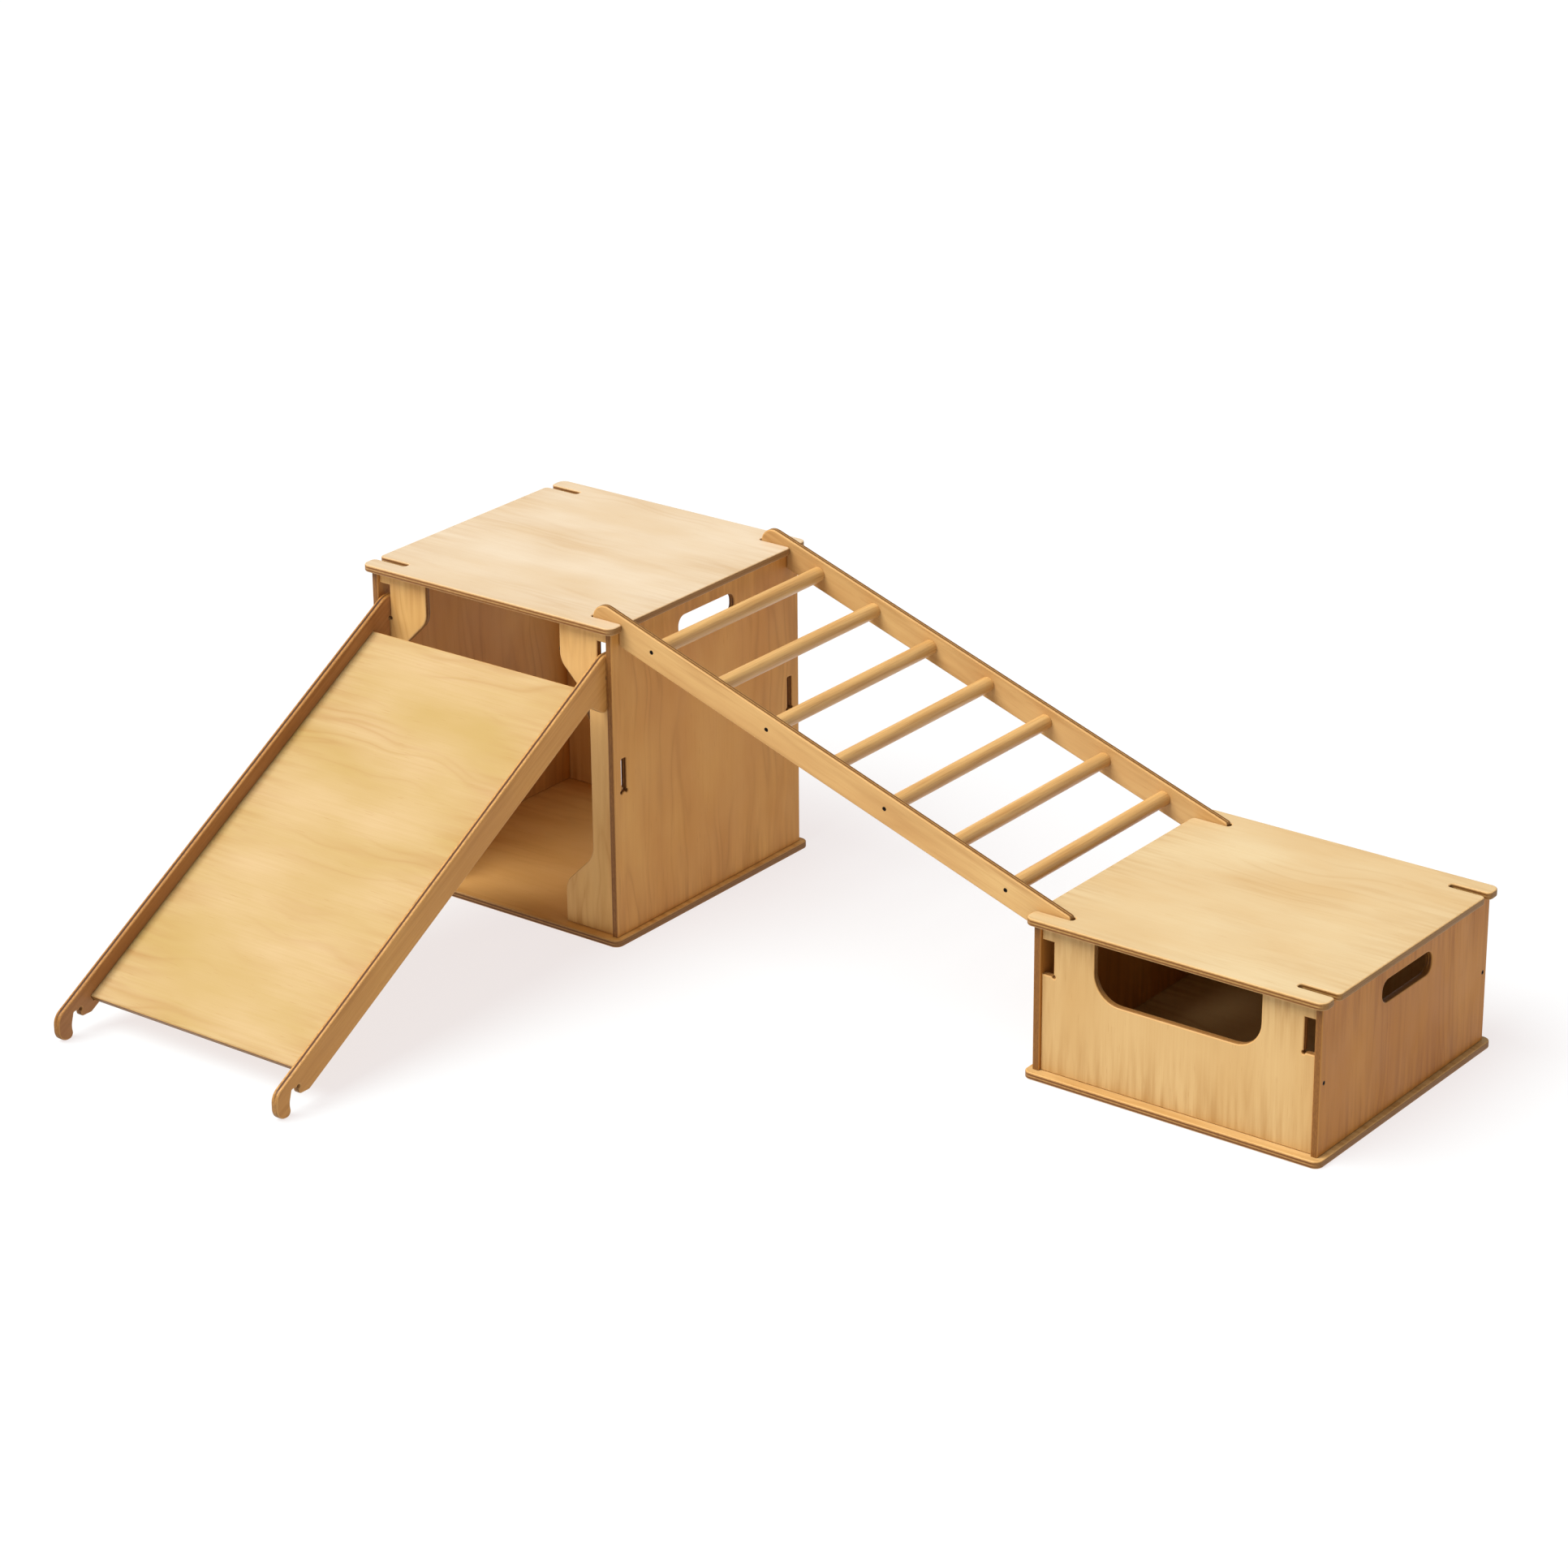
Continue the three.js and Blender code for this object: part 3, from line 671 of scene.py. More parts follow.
def give(mesh: bpy.types.Mesh, name: str, kind: str, domain: str, values: np.ndarray) -> None:
    """Stores values as a mesh attribute.

    Args:
        mesh: the mesh that gets it.
        name: the attribute's name.
        kind: "FLOAT" or "FLOAT_VECTOR".
        domain: "POINT" or "CORNER".
        values: one row for each point or corner.
    """
    attribute = mesh.attributes.new(name, kind, domain)
    key = "vector" if kind == "FLOAT_VECTOR" else "value"
    attribute.data.foreach_set(key, np.ascontiguousarray(values, np.float32).ravel())


@dataclass
class Plane:
    """Where a board lies: its corner, and the directions of its own x and y. z is its thickness."""

    origin: tuple[float, float, float]
    along: tuple[float, float, float]
    across: tuple[float, float, float]

    def place(self, flat: np.ndarray, height: np.ndarray | float) -> np.ndarray:
        """Points origin + x * along + y * across + z * (along x across).

        Args:
            flat: x and y of each point on the board.
            height: z of each point, or of all.

        Returns:
            The points in space.
        """
        u, v = np.array(self.along, float), np.array(self.across, float)
        w = np.cross(u, v)
        x, y = flat[..., :1], flat[..., 1:]
        z = np.broadcast_to(np.asarray(height, float), flat.shape[:-1])[..., None]
        return np.array(self.origin) + x * u + y * v + z * w


@dataclass
class Pocket:
    """Recess in a board's upper face."""

    outline: np.ndarray
    depth: float


@dataclass
class Board:
    """Board cut from sheet: an outline with rounded-over edges, holes, screw holes and pockets.

    The edge is a profile carried along the outline. For an angle a from 0 to 90 degrees the
    profile stands arris * (1 - sin a) inside the outline, arris * (1 - cos a) from the face.
    """

    name: str
    plane: Plane
    outline: Sequence[tuple[float, float, float]]
    holes: Sequence[Sequence[tuple[float, float, float]]] = ()
    screw_holes: Sequence[tuple[float, float]] = ()
    screws_from_top: bool = True
    pockets: Sequence[Pocket] = ()
    thickness: float = PLY
    arris: float = ARRIS
    grain: float = 0.0

    head_r: float = 3.8
    bore_r: float = 1.9
    head_drop: float = 0.4

    def _edge_profile(self) -> tuple[np.ndarray, np.ndarray]:
        """Profile of a rounded-over edge.

        Returns:
            Inset of each ring, and its height.
        """
        a = np.linspace(0, np.pi / 2, ARRIS_STEPS + 1)
        step, rise = self.arris * (1 - np.sin(a)), self.arris * (1 - np.cos(a))
        return (
            np.concatenate([step, step[::-1]]),
            np.concatenate([rise, self.thickness - rise[::-1]]),
        )

    def _screw_profile(self) -> tuple[np.ndarray, np.ndarray]:
        """Profile of a countersunk hole, its mouth on the screws' side.

        Returns:
            Outward step of each ring, and its height.
        """
        sink = self.head_r - self.bore_r
        step = np.array([0.0, 0.0, sink, sink])
        height = self.thickness - np.array([self.thickness, sink + self.head_drop, self.head_drop, 0.0])
        if self.screws_from_top:
            return step, height
        return step[::-1], self.thickness - height[::-1]

    def build(self, batch: float) -> bpy.types.Object:
        """Builds the board's mesh.

        Args:
            batch: number that picks the board's own stretch of veneer.

        Returns:
            The board, with "sheet", "batch", "end_grain" and "rim" on its mesh.
        """
        surface = Surface()
        edge, screw = self._edge_profile(), self._screw_profile()
        loops = [(turned_way(rounded(self.outline), True), *edge)]
        loops += [(turned_way(rounded(hole), False), *edge) for hole in self.holes]
        loops += [
            (turned_way(circle(x, y, self.bore_r), False), *screw) for x, y in self.screw_holes
        ]
        cuts = len(loops)
        for pocket in self.pockets:
            rise = np.array([self.thickness - pocket.depth, self.thickness])
            loops.append((turned_way(pocket.outline, False), np.zeros(2), rise))
        flat, height, across, bottoms, tops = [], [], [], [], []
        for index, (points, step, rise) in enumerate(loops):
            rings = inset(points, step)
            levels = np.broadcast_to(rise[:, None], rings.shape[:2])
            grid = surface.add(self.plane.place(rings, levels))
            surface.strip(grid)
            flat.append(rings.reshape(-1, 2))
            height.append(levels.ravel())
            across.append(np.tile(self._end_share(points), len(step)) * (index < cuts))
            bottoms.append((rings[0], grid[0]))
            tops.append((rings[-1], grid[-1]))
        walls = sum(len(f) for f in surface.faces)
        self._cap(surface, bottoms[:cuts], up=False)
        for group in [tops, *([floor] for floor in bottoms[cuts:])]:
            self._cap(surface, group, up=True)
        thing = surface.to_object(self.name)
        values = (np.concatenate(part) for part in (flat, height, across))
        self._annotate(thing.data, *values, walls, batch)
        return thing

    def _end_share(self, points: np.ndarray) -> np.ndarray:
        """How far the edge is cut across the grain, |edge normal . grain|.

        Args:
            points: the outline.

        Returns:
            A share from 0 to 1 at each point.
        """
        side = unit(np.roll(points, -1, axis=0) - np.roll(points, 1, axis=0))
        angle = math.radians(self.grain)
        return np.abs(side @ np.array([-math.sin(angle), math.cos(angle)]))

    def _cap(self, surface: Surface, rings: list[tuple], up: bool) -> None:
        """Fills a flat face between an outline and its holes with triangles.

        Args:
            surface: the mesh in the making.
            rings: points and point numbers of the outline and of each hole.
            up: whether the face looks up or down.
        """
        flat = np.concatenate([points for points, _ in rings])
        number = np.concatenate([numbers for _, numbers in rings])
        loops = [[Vector((x, y, 0.0)) for x, y in points.tolist()] for points, _ in rings]
        triangles = np.array(tessellate_polygon(loops), int)
        a, b, c = (flat[triangles[:, i]] for i in range(3))
        double = (b[:, 0] - a[:, 0]) * (c[:, 1] - a[:, 1]) - (b[:, 1] - a[:, 1]) * (c[:, 0] - a[:, 0])
        wrong = (double > 0) != up
        triangles[wrong] = triangles[wrong][:, ::-1]
        surface.faces.append(number[triangles])

    def _annotate(
        self,
        mesh: bpy.types.Mesh,
        flat: np.ndarray,
        height: np.ndarray,
        across: np.ndarray,
        walls: int,
        batch: float,
    ) -> None:
        """Stores what the finish reads, and keeps the flat faces crisp against the rounded edge.

        sheet is the place on the board in metres: along the grain and across it from the board's
        middle, and in depth; reach is half the board's extent in the same directions.
        end_grain and rim are set on the walls' corners only; rim, where the edge gets its painted
        highlight, fades out down the edge.

        Args:
            mesh: the board's mesh.
            flat: x and y of each point on the board.
            height: height of each point over the board's lower face.
            across: how far the edge is cut across the grain at each point.
            walls: number of faces in the walls, which come first.
            batch: number that picks the board's own stretch of veneer.
        """
        angle = math.radians(self.grain)
        turn = np.array([[math.cos(angle), -math.sin(angle)], [math.sin(angle), math.cos(angle)]])
        depth = height * (PLY / self.thickness)
        turned = flat @ turn
        low, high = turned.min(axis=0), turned.max(axis=0)
        sheet = np.column_stack([turned - (low + high) / 2, depth])
        give(mesh, "sheet", "FLOAT_VECTOR", "POINT", sheet * MM)
        half = np.append((high - low) / 2, 0.0)
        give(mesh, "reach", "FLOAT_VECTOR", "POINT", np.tile(half * MM, (len(flat), 1)))
        give(mesh, "batch", "FLOAT", "POINT", np.full(len(flat), batch))
        corner = np.empty(len(mesh.loops), np.int32)
        mesh.loops.foreach_get("vertex_index", corner)
        on_wall = np.arange(len(corner)) < walls * 4
        give(mesh, "end_grain", "FLOAT", "CORNER", np.where(on_wall, across[corner], 0))
        from_face = np.minimum(height, self.thickness - height)
        # rim masks the painted highlight on the rounded-over edge, strongest next to the face.
        rim = np.clip(1 - from_face / (0.85 * self.arris), 0, 1)
        give(mesh, "rim", "FLOAT", "CORNER", np.where(on_wall, rim[corner], 0))
        mesh.set_sharp_from_angle(angle=math.radians(32))
        edges = np.empty(len(mesh.edges) * 2, np.int32)
        mesh.edges.foreach_get("vertices", edges)
        on_face = (from_face < 1e-6)[edges.reshape(-1, 2)].all(axis=1)
        sharp = mesh.attributes["sharp_edge"].data
        flags = np.empty(len(mesh.edges), bool)
        sharp.foreach_get("value", flags)
        sharp.foreach_set("value", flags | on_face)


def turned_object(
    name: str,
    profile: np.ndarray,
    foot: tuple[float, float, float],
    axis: tuple[float, float, float],
    sides: int,
    shape: np.ndarray | None = None,
) -> bpy.types.Object:
    """Closed turned piece whose profile starts and ends on its axis.

    A point is foot + h * axis + r * s * (cos a * e1 + sin a * e2), with r and h from the profile
    and s the ring's shape factor at the angle a, which is 1 on a round ring.

    Args:
        name: the piece's name.
        profile: radius and height of each ring; the first and last radius are 0.
        foot: start of the axis.
        axis: direction of the axis.
        sides: points in a ring.
        shape: optional rings by sides table of radius factors, for all rings but the end points.

    Returns:
        The piece, with its sharp edges marked.
    """
    direction = np.array(axis, float)
    helper = np.array([0.0, 0.0, 1.0]) if abs(direction[2]) < 0.9 else np.array([1.0, 0.0, 0.0])
    e1 = unit(np.cross(helper, direction))
    e2 = np.cross(direction, e1)
    angle = np.linspace(0, 2 * np.pi, sides, endpoint=False)
    ring = np.cos(angle)[:, None] * e1 + np.sin(angle)[:, None] * e2
    radius = profile[1:-1, 0][:, None] * (np.ones(sides) if shape is None else shape)
    height = profile[1:-1, 1][:, None, None] * direction
    surface = Surface()
    start, end = (np.array(foot) + profile[i, 1] * direction for i in (0, -1))
    grid = surface.add(np.array(foot) + height + radius[..., None] * ring)
    poles = surface.add(np.stack([start, end]))
    surface.strip(grid)
    first, last = grid[0], grid[-1]
    surface.faces.append(np.stack([np.full(sides, poles[0]), np.roll(first, -1), first], axis=1))
    surface.faces.append(np.stack([np.full(sides, poles[1]), last, np.roll(last, -1)], axis=1))
    thing = surface.to_object(name)
    thing.data.set_sharp_from_angle(angle=math.radians(35))
    return thing


# ------------------------------------------------------------------------------ the set's pieces


@dataclass
class Extent:
    """Lowest and highest corner of a CAD node, in millimetres."""

    node: str

    def __post_init__(self) -> None:
        """Reads the node's box from the frame."""
        low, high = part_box(self.node)
        self.x0, self.y0, self.z0 = (v / MM for v in low)
        self.x1, self.y1, self.z1 = (v / MM for v in high)


class Workshop:
    """Finishes pieces: material, body and stood-for node."""

    def __init__(self) -> None:
        """Starts with no pieces made."""
        self.made = 0

    def board(self, board: Board, look: Look, body: str, slot: str) -> bpy.types.Object:
        """Builds a board and puts it in place of the CAD node of the same stem.

        Args:
            board: the board; its name is the node's name plus "_board".
            look: its finish.
            body: the body that it rides on.
            slot: the record's material slot; not used.

        Returns:
            The finished piece.
        """
        batch = 3.7 * self.made + 1.3
        return self.finish(board.build(batch), board.name.removesuffix("_board"), look, body)

    def finish(
        self, thing: bpy.types.Object, node: str, look: Look, body: str
    ) -> bpy.types.Object:
        """Dresses a piece, ties it to its body and logs it.

        Args:
            thing: the piece.
            node: the CAD node that it stands for.
            look: its finish.
            body: the body that it rides on.

        Returns:
            The finished piece.
        """
        thing.data.materials.clear()
        thing.data.materials.append(look.material())
        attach(thing, body)
        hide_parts(node)
        self.made += 1
        log.info("%s: %d faces, %s, on %s", thing.name, len(thing.data.polygons), look.name, body)
        return thing

    def dress_node(self, node: str, look: Look) -> None:
        """Gives a CAD node that stays its finish.

        Args:
            node: the node's name.
            look: its finish.
        """
        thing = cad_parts[node]
        thing.data.materials.clear()
        thing.data.materials.append(look.material())
        log.info("%s: kept as it is, %s", node, look.name)


X, Y, Z = (1.0, 0.0, 0.0), (0.0, 1.0, 0.0), (0.0, 0.0, 1.0)


@dataclass
class Carcass:
    """Bottom, top and two sides of one box, with its hidden pins."""

    name: str
    side_slots: bool
    top_look: Look
    side_look: Look
    base_look: Look
    body: str = "boxes"
    overhang_x: float = 10.0
    overhang_y: float = 13.0
    corner_r: float = 14.0
    slot_w: float = 12.6
    slot_mouth_r: float = 8.0
    slot_end_r: float = 5.0
    slot_reach: float = 56.0
    slot_from_edge: float = 25.0
    handle_l: float = 145.0
    handle_h: float = 37.0
    handle_drop: float = 25.0
    handle_r: float = 16.0
    side_slot_z: float = 260.0
    side_slot_h: float = 57.0
    relief_r: float = 3.0

    def build(self, shop: Workshop) -> None:
        """Builds the four boards and dresses the pins.

        Args:
            shop: finishes the pieces.
        """
        for level in ("base", "top"):
            box = Extent(f"{self.name}_{level}")
            outline = self._top_outline(box) if level == "top" else self._rectangle(box)
            board = Board(f"{self.name}_{level}_board", Plane((0, 0, box.z0), X, Y), outline)
            look = self.top_look if level == "top" else self.base_look
            shop.board(board, look, self.body, "box_ply")
        for side in ("left", "right"):
            box = Extent(f"{self.name}_side_{side}")
            board = Board(
                f"{self.name}_side_{side}_board",
                Plane((box.x0, 0, 0), Y, Z),
                rectangle(box.y0, box.z0, box.y1, box.z1),
                holes=self._side_holes(box),
                screw_holes=self._screw_places(side),
                screws_from_top=side == "right",
                grain=90.0,
            )
            shop.board(board, self.side_look, self.body, "box_ply")
        for node in sorted(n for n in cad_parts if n.startswith(f"{self.name}_pin_")):
            shop.dress_node(node, Look.PIN)

    def _screw_places(self, side: str) -> list[tuple[float, float]]:
        """Where screws go through a side panel, from their own nodes; the tower has none.

        Args:
            side: "left" or "right".

        Returns:
            Their places on the panel.
        """
        stem = f"{self.name}_screw_"
        names = [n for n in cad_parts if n.startswith(stem) and n.endswith(side)]
        return [((b.y0 + b.y1) / 2, (b.z0 + b.z1) / 2) for b in map(Extent, sorted(names))]

    def _rectangle(self, box: Extent) -> list[tuple]:
        """Corners of the bottom panel."""
        return rectangle(box.x0, box.y0, box.x1, box.y1, self.corner_r)

    def _top_outline(self, box: Extent) -> list[tuple]:
        """Outline of the top panel, with two slots running in from each side edge.

        Args:
            box: the panel's extent.

        Returns:
            Its corners.
        """

        def slot(edge: float, way: int, centre: float) -> list[tuple]:
            """Outline of one slot.

            Args:
                edge: the panel's edge in x.
                way: 1 where the slot opens towards +x, -1 where it opens towards -x.
                centre: the slot's middle in y.

            Returns:
                Its corners, from one side of its mouth to the other.
            """
            inner = edge - way * (self.overhang_x + self.slot_reach)
            half = way * self.slot_w / 2
            mouth, end = self.slot_mouth_r, self.slot_end_r
            return [
                (edge, centre - half, mouth),
                (inner, centre - half, end),
                (inner, centre + half, end),
                (edge, centre + half, mouth),
            ]

        near = box.y0 + self.overhang_y + self.slot_from_edge
        far = box.y1 - self.overhang_y - self.slot_from_edge
        front_left, front_right, back_right, back_left = self._rectangle(box)
        return [
            front_left,
            front_right,
            *slot(box.x1, 1, near),
            *slot(box.x1, 1, far),
            back_right,
            back_left,
            *slot(box.x0, -1, far),
            *slot(box.x0, -1, near),
        ]

    def _side_holes(self, box: Extent) -> list[list[tuple]]:
        """Hand hold, and on the tower two upright slots.

        Args:
            box: the panel's extent.

        Returns:
            Corners of each hole.
        """
        y = (box.y0 + box.y1 - self.handle_l) / 2
        z = box.z1 - self.handle_drop
        holes = [rectangle(y, z - self.handle_h, y + self.handle_l, z, self.handle_r)]
        if self.side_slots:
            low, high, relief = self.side_slot_z, self.side_slot_z + self.side_slot_h, self.relief_r
            half = self.slot_w / 2
            for centre in (box.y0 + self.slot_from_edge, box.y1 - self.slot_from_edge):
                near, far = centre - half, centre + half
                holes.append(
                    [(near, low, -relief), (far, low, -relief), (far, high, relief), (near, high, relief)]
                )
        return holes


@dataclass
class Window:
    """Window in the outer edge of a front or back board, where a slide hook hangs."""

    width: float = 21.0
    height: float = 57.0
    relief_r: float = 3.0

    def corners(self, edge: float, inward: int, top: float) -> list[tuple]:
        """Outline of the window.

        Args:
            edge: the board's edge in x.
            inward: 1 where the board lies towards +x, -1 where it lies towards -x.
            top: height of the window's top.

        Returns:
            Its corners, from the edge's upper break round to its lower break.
        """
        inner = edge + inward * self.width
        return [
            (edge, top, 0),
            (inner, top, 0),
            (inner, top - self.height, -self.relief_r),
            (edge, top - self.height, 0),
        ]


@dataclass
class Posts:
    """The tower's four posts, which flare into gussets under the top and over the base."""

    body: str = "boxes"
    upright_w: float = 40.0
    gusset_w: float = 98.0
    gusset_straight: float = 70.0
    gusset_end: float = 128.0
    gusset_r: float = 35.0
    blend_r: float = 45.0
    window_drop: float = 21.0
    window: Window = field(default_factory=Window)

    def build(self, shop: Workshop) -> None:
        """Builds the posts; each one's outer edge is where its side panel stands.

        Args:
            shop: finishes the pieces.
        """
        for face in ("front", "back"):
            for side, inward in (("left", 1), ("right", -1)):
                name = f"tower_post_{face}_{side}"
                box = Extent(name)
                edge = box.x0 if inward > 0 else box.x1
                board = Board(
                    f"{name}_board",
                    Plane((0, box.y1, 0), X, Z),
                    self._outline(edge, inward, box.z0, box.z1),
                    grain=90.0,
                )
                shop.board(board, Look.POST, self.body, "box_ply")

    def _outline(self, edge: float, inward: int, low: float, high: float) -> list[tuple]:
        """Outline of one post.

        Args:
            edge: the post's outer edge in x.
            inward: 1 where the post lies towards +x, -1 where it lies towards -x.
            low: height of its foot.
            high: height of its top.

        Returns:
            Its corners.
        """
        slim, wide = edge + inward * self.upright_w, edge + inward * self.gusset_w
        return [
            (edge, low, 0),
            (wide, low, 0),
            (wide, low + self.gusset_straight, self.gusset_r),
            (slim, low + self.gusset_end, self.blend_r),
            (slim, high - self.gusset_end, self.blend_r),
            (wide, high - self.gusset_straight, self.gusset_r),
            (wide, high, 0),
            (edge, high, 0),
            *self.window.corners(edge, inward, high - self.window_drop),
        ]


@dataclass
class BayBoards:
    """Front and back of the low box: a bay open to the top, and a window at each end."""

    body: str = "boxes"
    bay_side: float = 93.0
    bay_depth: float = 101.0
    bay_r: float = 45.0
    window_drop: float = 25.0
    window: Window = field(default_factory=Window)

    def build(self, shop: Workshop) -> None:
        """Builds the two boards.

        Args:
            shop: finishes the pieces.
        """
        for face in ("front", "back"):
            name = f"low_box_{face}"
            box = Extent(name)
            top = box.z1 - self.window_drop
            left, right, bay = box.x0 + self.bay_side, box.x1 - self.bay_side, box.z1 - self.bay_depth
            outline = [
                (box.x0, box.z0, 0),
                (box.x1, box.z0, 0),
                *self.window.corners(box.x1, -1, top)[::-1],
                (box.x1, box.z1, 0),
                (right, box.z1, 0),
                (right, bay, self.bay_r),
                (left, bay, self.bay_r),
                (left, box.z1, 0),
                (box.x0, box.z1, 0),
                *self.window.corners(box.x0, 1, top),
            ]
            board = Board(f"{name}_board", Plane((0, box.y1, 0), X, Z), outline, grain=90.0)
            shop.board(board, Look.FRONT, self.body, "box_ply")


@dataclass
class Screws:
    """Countersunk screws, each where its CAD node lies, with a six-sided recess in its head."""

    head_r: float = 3.6
    shank_r: float = 1.7
    point: float = 6.0
    recess_r: float = 1.9
    recess_depth: float = 1.8
    sides: int = 36

    def build(self, shop: Workshop, prefix: str, body: str, axis: int) -> None:
        """Builds every screw whose node starts with prefix.

        Args:
            shop: finishes the pieces.
            prefix: start of the nodes' names.
            body: the body that they ride on.
            axis: the screws' direction, 0 for x or 1 for y.
        """
        for node in sorted(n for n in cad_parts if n.startswith(prefix)):
            low, high = (np.array(corner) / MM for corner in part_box(node))
            middle = (low + high) / 2
            away = -1 if self._head_is_high(node, axis, middle[axis]) else 1
            foot = middle.copy()
            foot[axis] = low[axis] if away > 0 else high[axis]
            direction = np.zeros(3)
            direction[axis] = away
            thing = self._screw(f"{node}_turned", foot, direction, high[axis] - low[axis])
            shop.finish(thing, node, Look.SCREW, body)

    def _head_is_high(self, node: str, axis: int, middle: float) -> bool:
        """Whether a screw's head is at the high end of its axis.

        Args:
            node: the screw's node.
            axis: its direction.
            middle: the middle of its length.

        Returns:
            True where its widest part lies past the middle.
        """
        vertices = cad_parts[node].data.vertices
        points = np.empty(len(vertices) * 3)
        vertices.foreach_get("co", points)
        points = points.reshape(-1, 3) / MM
        across = np.delete(points, axis, axis=1)
        spread = np.linalg.norm(across - (across.max(0) + across.min(0)) / 2, axis=1)
        return bool(points[spread > self.head_r * 0.95, axis].mean() > middle)

    def _screw(
        self, name: str, foot: np.ndarray, direction: np.ndarray, length: float
    ) -> bpy.types.Object:
        """Turned screw; the recess rings follow a hexagon, cos 30 / cos(a mod 60 - 30).

        The profile runs from the recess's floor out to the head's rim and down to the point.

        Args:
            name: the screw's name.
            foot: middle of its head.
            direction: from head to point.
            length: its length.

        Returns:
            The screw.
        """
        cone = self.head_r - self.shank_r
        profile = np.array(
            [
                [0, self.recess_depth],
                [self.recess_r, self.recess_depth],
                [self.recess_r, 0.15],
                [self.recess_r * 1.12, 0],
                [self.head_r - 0.25, 0],
                [self.head_r, 0.25],
                [self.shank_r, 0.25 + cone],
                [self.shank_r, length - self.point],
                [self.shank_r * 0.55, length - self.point * 0.4],
                [0, length],
            ]
        )
        angle = np.linspace(0, 2 * np.pi, self.sides, endpoint=False)
        sixth = np.pi / 3
        hexagon = np.cos(sixth / 2) / np.cos(angle % sixth - sixth / 2)
        shape = np.ones((len(profile) - 2, self.sides))
        shape[:3] = hexagon
        return turned_object(name, profile, tuple(foot), tuple(direction), self.sides, shape)


@dataclass
class Ladder:
    """Two hooked rails and the rungs between them."""

    body: str = "ladder"
    ply: float = PLY
    rail_w: float = 50.0
    slope: float = 18.852
    tooth: float = 17.5
    throat: float = 12.8
    nose_r: float = 24.0
    tooth_r: float = 12.0
    relief_r: float = 3.0
    tooth_tip_r: float = 3.0
    throat_r: float = 6.0
    end_r: float = 5.0
    crest: float = 14.0
    rung_r: float = 12.5
    rung_ease: float = 0.5
    bore_r: float = 1.85
    bore_depth: float = 26.9

    def build(self, shop: Workshop) -> None:
        """Builds rails, rungs and screws.

        Args:
            shop: finishes the pieces.
        """
        tower, low = Extent("tower_side_right"), Extent("low_box_side_left")
        for side in ("front", "back"):
            name = f"ladder_rail_{side}"
            box = Extent(name)
            board = Board(
                f"{name}_board",
                Plane((0, box.y1, 0), X, Z),
                self._outline(box, tower, low),
                screw_holes=self._screw_places(side),
                screws_from_top=side == "front",
                grain=-self.slope,
            )
            shop.board(board, Look.RAIL, self.body, "rail_ply")
        for node in sorted(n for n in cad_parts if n.startswith("ladder_rung_")):
            self._rung(shop, node)
        Screws().build(shop, "ladder_screw_", self.body, axis=1)

    def _screw_places(self, side: str) -> list[tuple[float, float]]:
        """Where the rail's screws go, from their own nodes.

        Args:
            side: "front" or "back".

        Returns:
            Their places on the rail.
        """
        boxes = [Extent(n) for n in sorted(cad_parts) if n.startswith(f"ladder_screw_{side}")]
        return [((b.x0 + b.x1) / 2, (b.z0 + b.z1) / 2) for b in boxes]

    def _outline(self, box: Extent, tower: Extent, low: Extent) -> list[tuple]:
        """Outline of a rail, whose upper edge falls evenly from over the tower's wall.

        Args:
            box: the rail's extent.
            tower: extent of the tower's side panel that it hooks over.
            low: extent of the low box's side panel that it hooks over.

        Returns:
            Its corners.
        """
        fall = math.tan(math.radians(self.slope))
        drop = self.rail_w / math.cos(math.radians(self.slope))
        play = (self.throat - self.ply) / 2
        roof_high, roof_low = tower.z1 + FIT, low.z1 + FIT
        first, last = tower.x0 - play, tower.x1 + play
        near, far = low.x0 - play, low.x1 + play
        crest = tower.x1, tower.z1 + self.ply + self.crest

        def top(x: float) -> float:
            """Height of the rail's upper edge."""
            return crest[1] - fall * (x - crest[0])

        return [
            (box.x0, top(box.x0), self.nose_r),
            (box.x0, roof_high - self.tooth, self.tooth_r),
            (first, roof_high - self.tooth, self.tooth_tip_r),
            (first, roof_high, -self.relief_r),
            (last, roof_high, -self.relief_r),
            (last, top(last) - drop, self.throat_r),
            (near, top(near) - drop, self.throat_r),
            (near, roof_low, -self.relief_r),
            (far, roof_low, -self.relief_r),
            (far, roof_low - self.tooth, self.tooth_tip_r),
            (box.x1, roof_low - self.tooth, self.tooth_r),
            (box.x1, top(box.x1), self.end_r),
        ]

    def _rung(self, shop: Workshop, node: str) -> None:
        """Builds a turned rung with eased ends; screwed rungs are bored from both ends.

        Args:
            shop: finishes the pieces.
            node: the rung's node.
        """
        box = Extent(node)
        length = box.y1 - box.y0
        end = [[self.rung_r - self.rung_ease, 0], [self.rung_r, self.rung_ease]]
        bore = [[0, 0]]
        if len(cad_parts[node].data.vertices) > self._plain_vertices():
            bore = [[0, self.bore_depth], [self.bore_r, self.bore_depth], [self.bore_r, 0]]
        half = np.array(bore + end)
        other = half[::-1] * [1, -1] + [0, length]
        foot = ((box.x0 + box.x1) / 2, box.y0, (box.z0 + box.z1) / 2)
        thing = turned_object(f"{node}_turned", np.concatenate([half, other]), foot, Y, 64)
        shop.finish(thing, node, Look.RUNG, self.body)

    def _plain_vertices(self) -> int:
        """Number of vertices in a rung without bores."""
        rungs = [o for n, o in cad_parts.items() if n.startswith("ladder_rung_")]
        return min(len(o.data.vertices) for o in rungs)


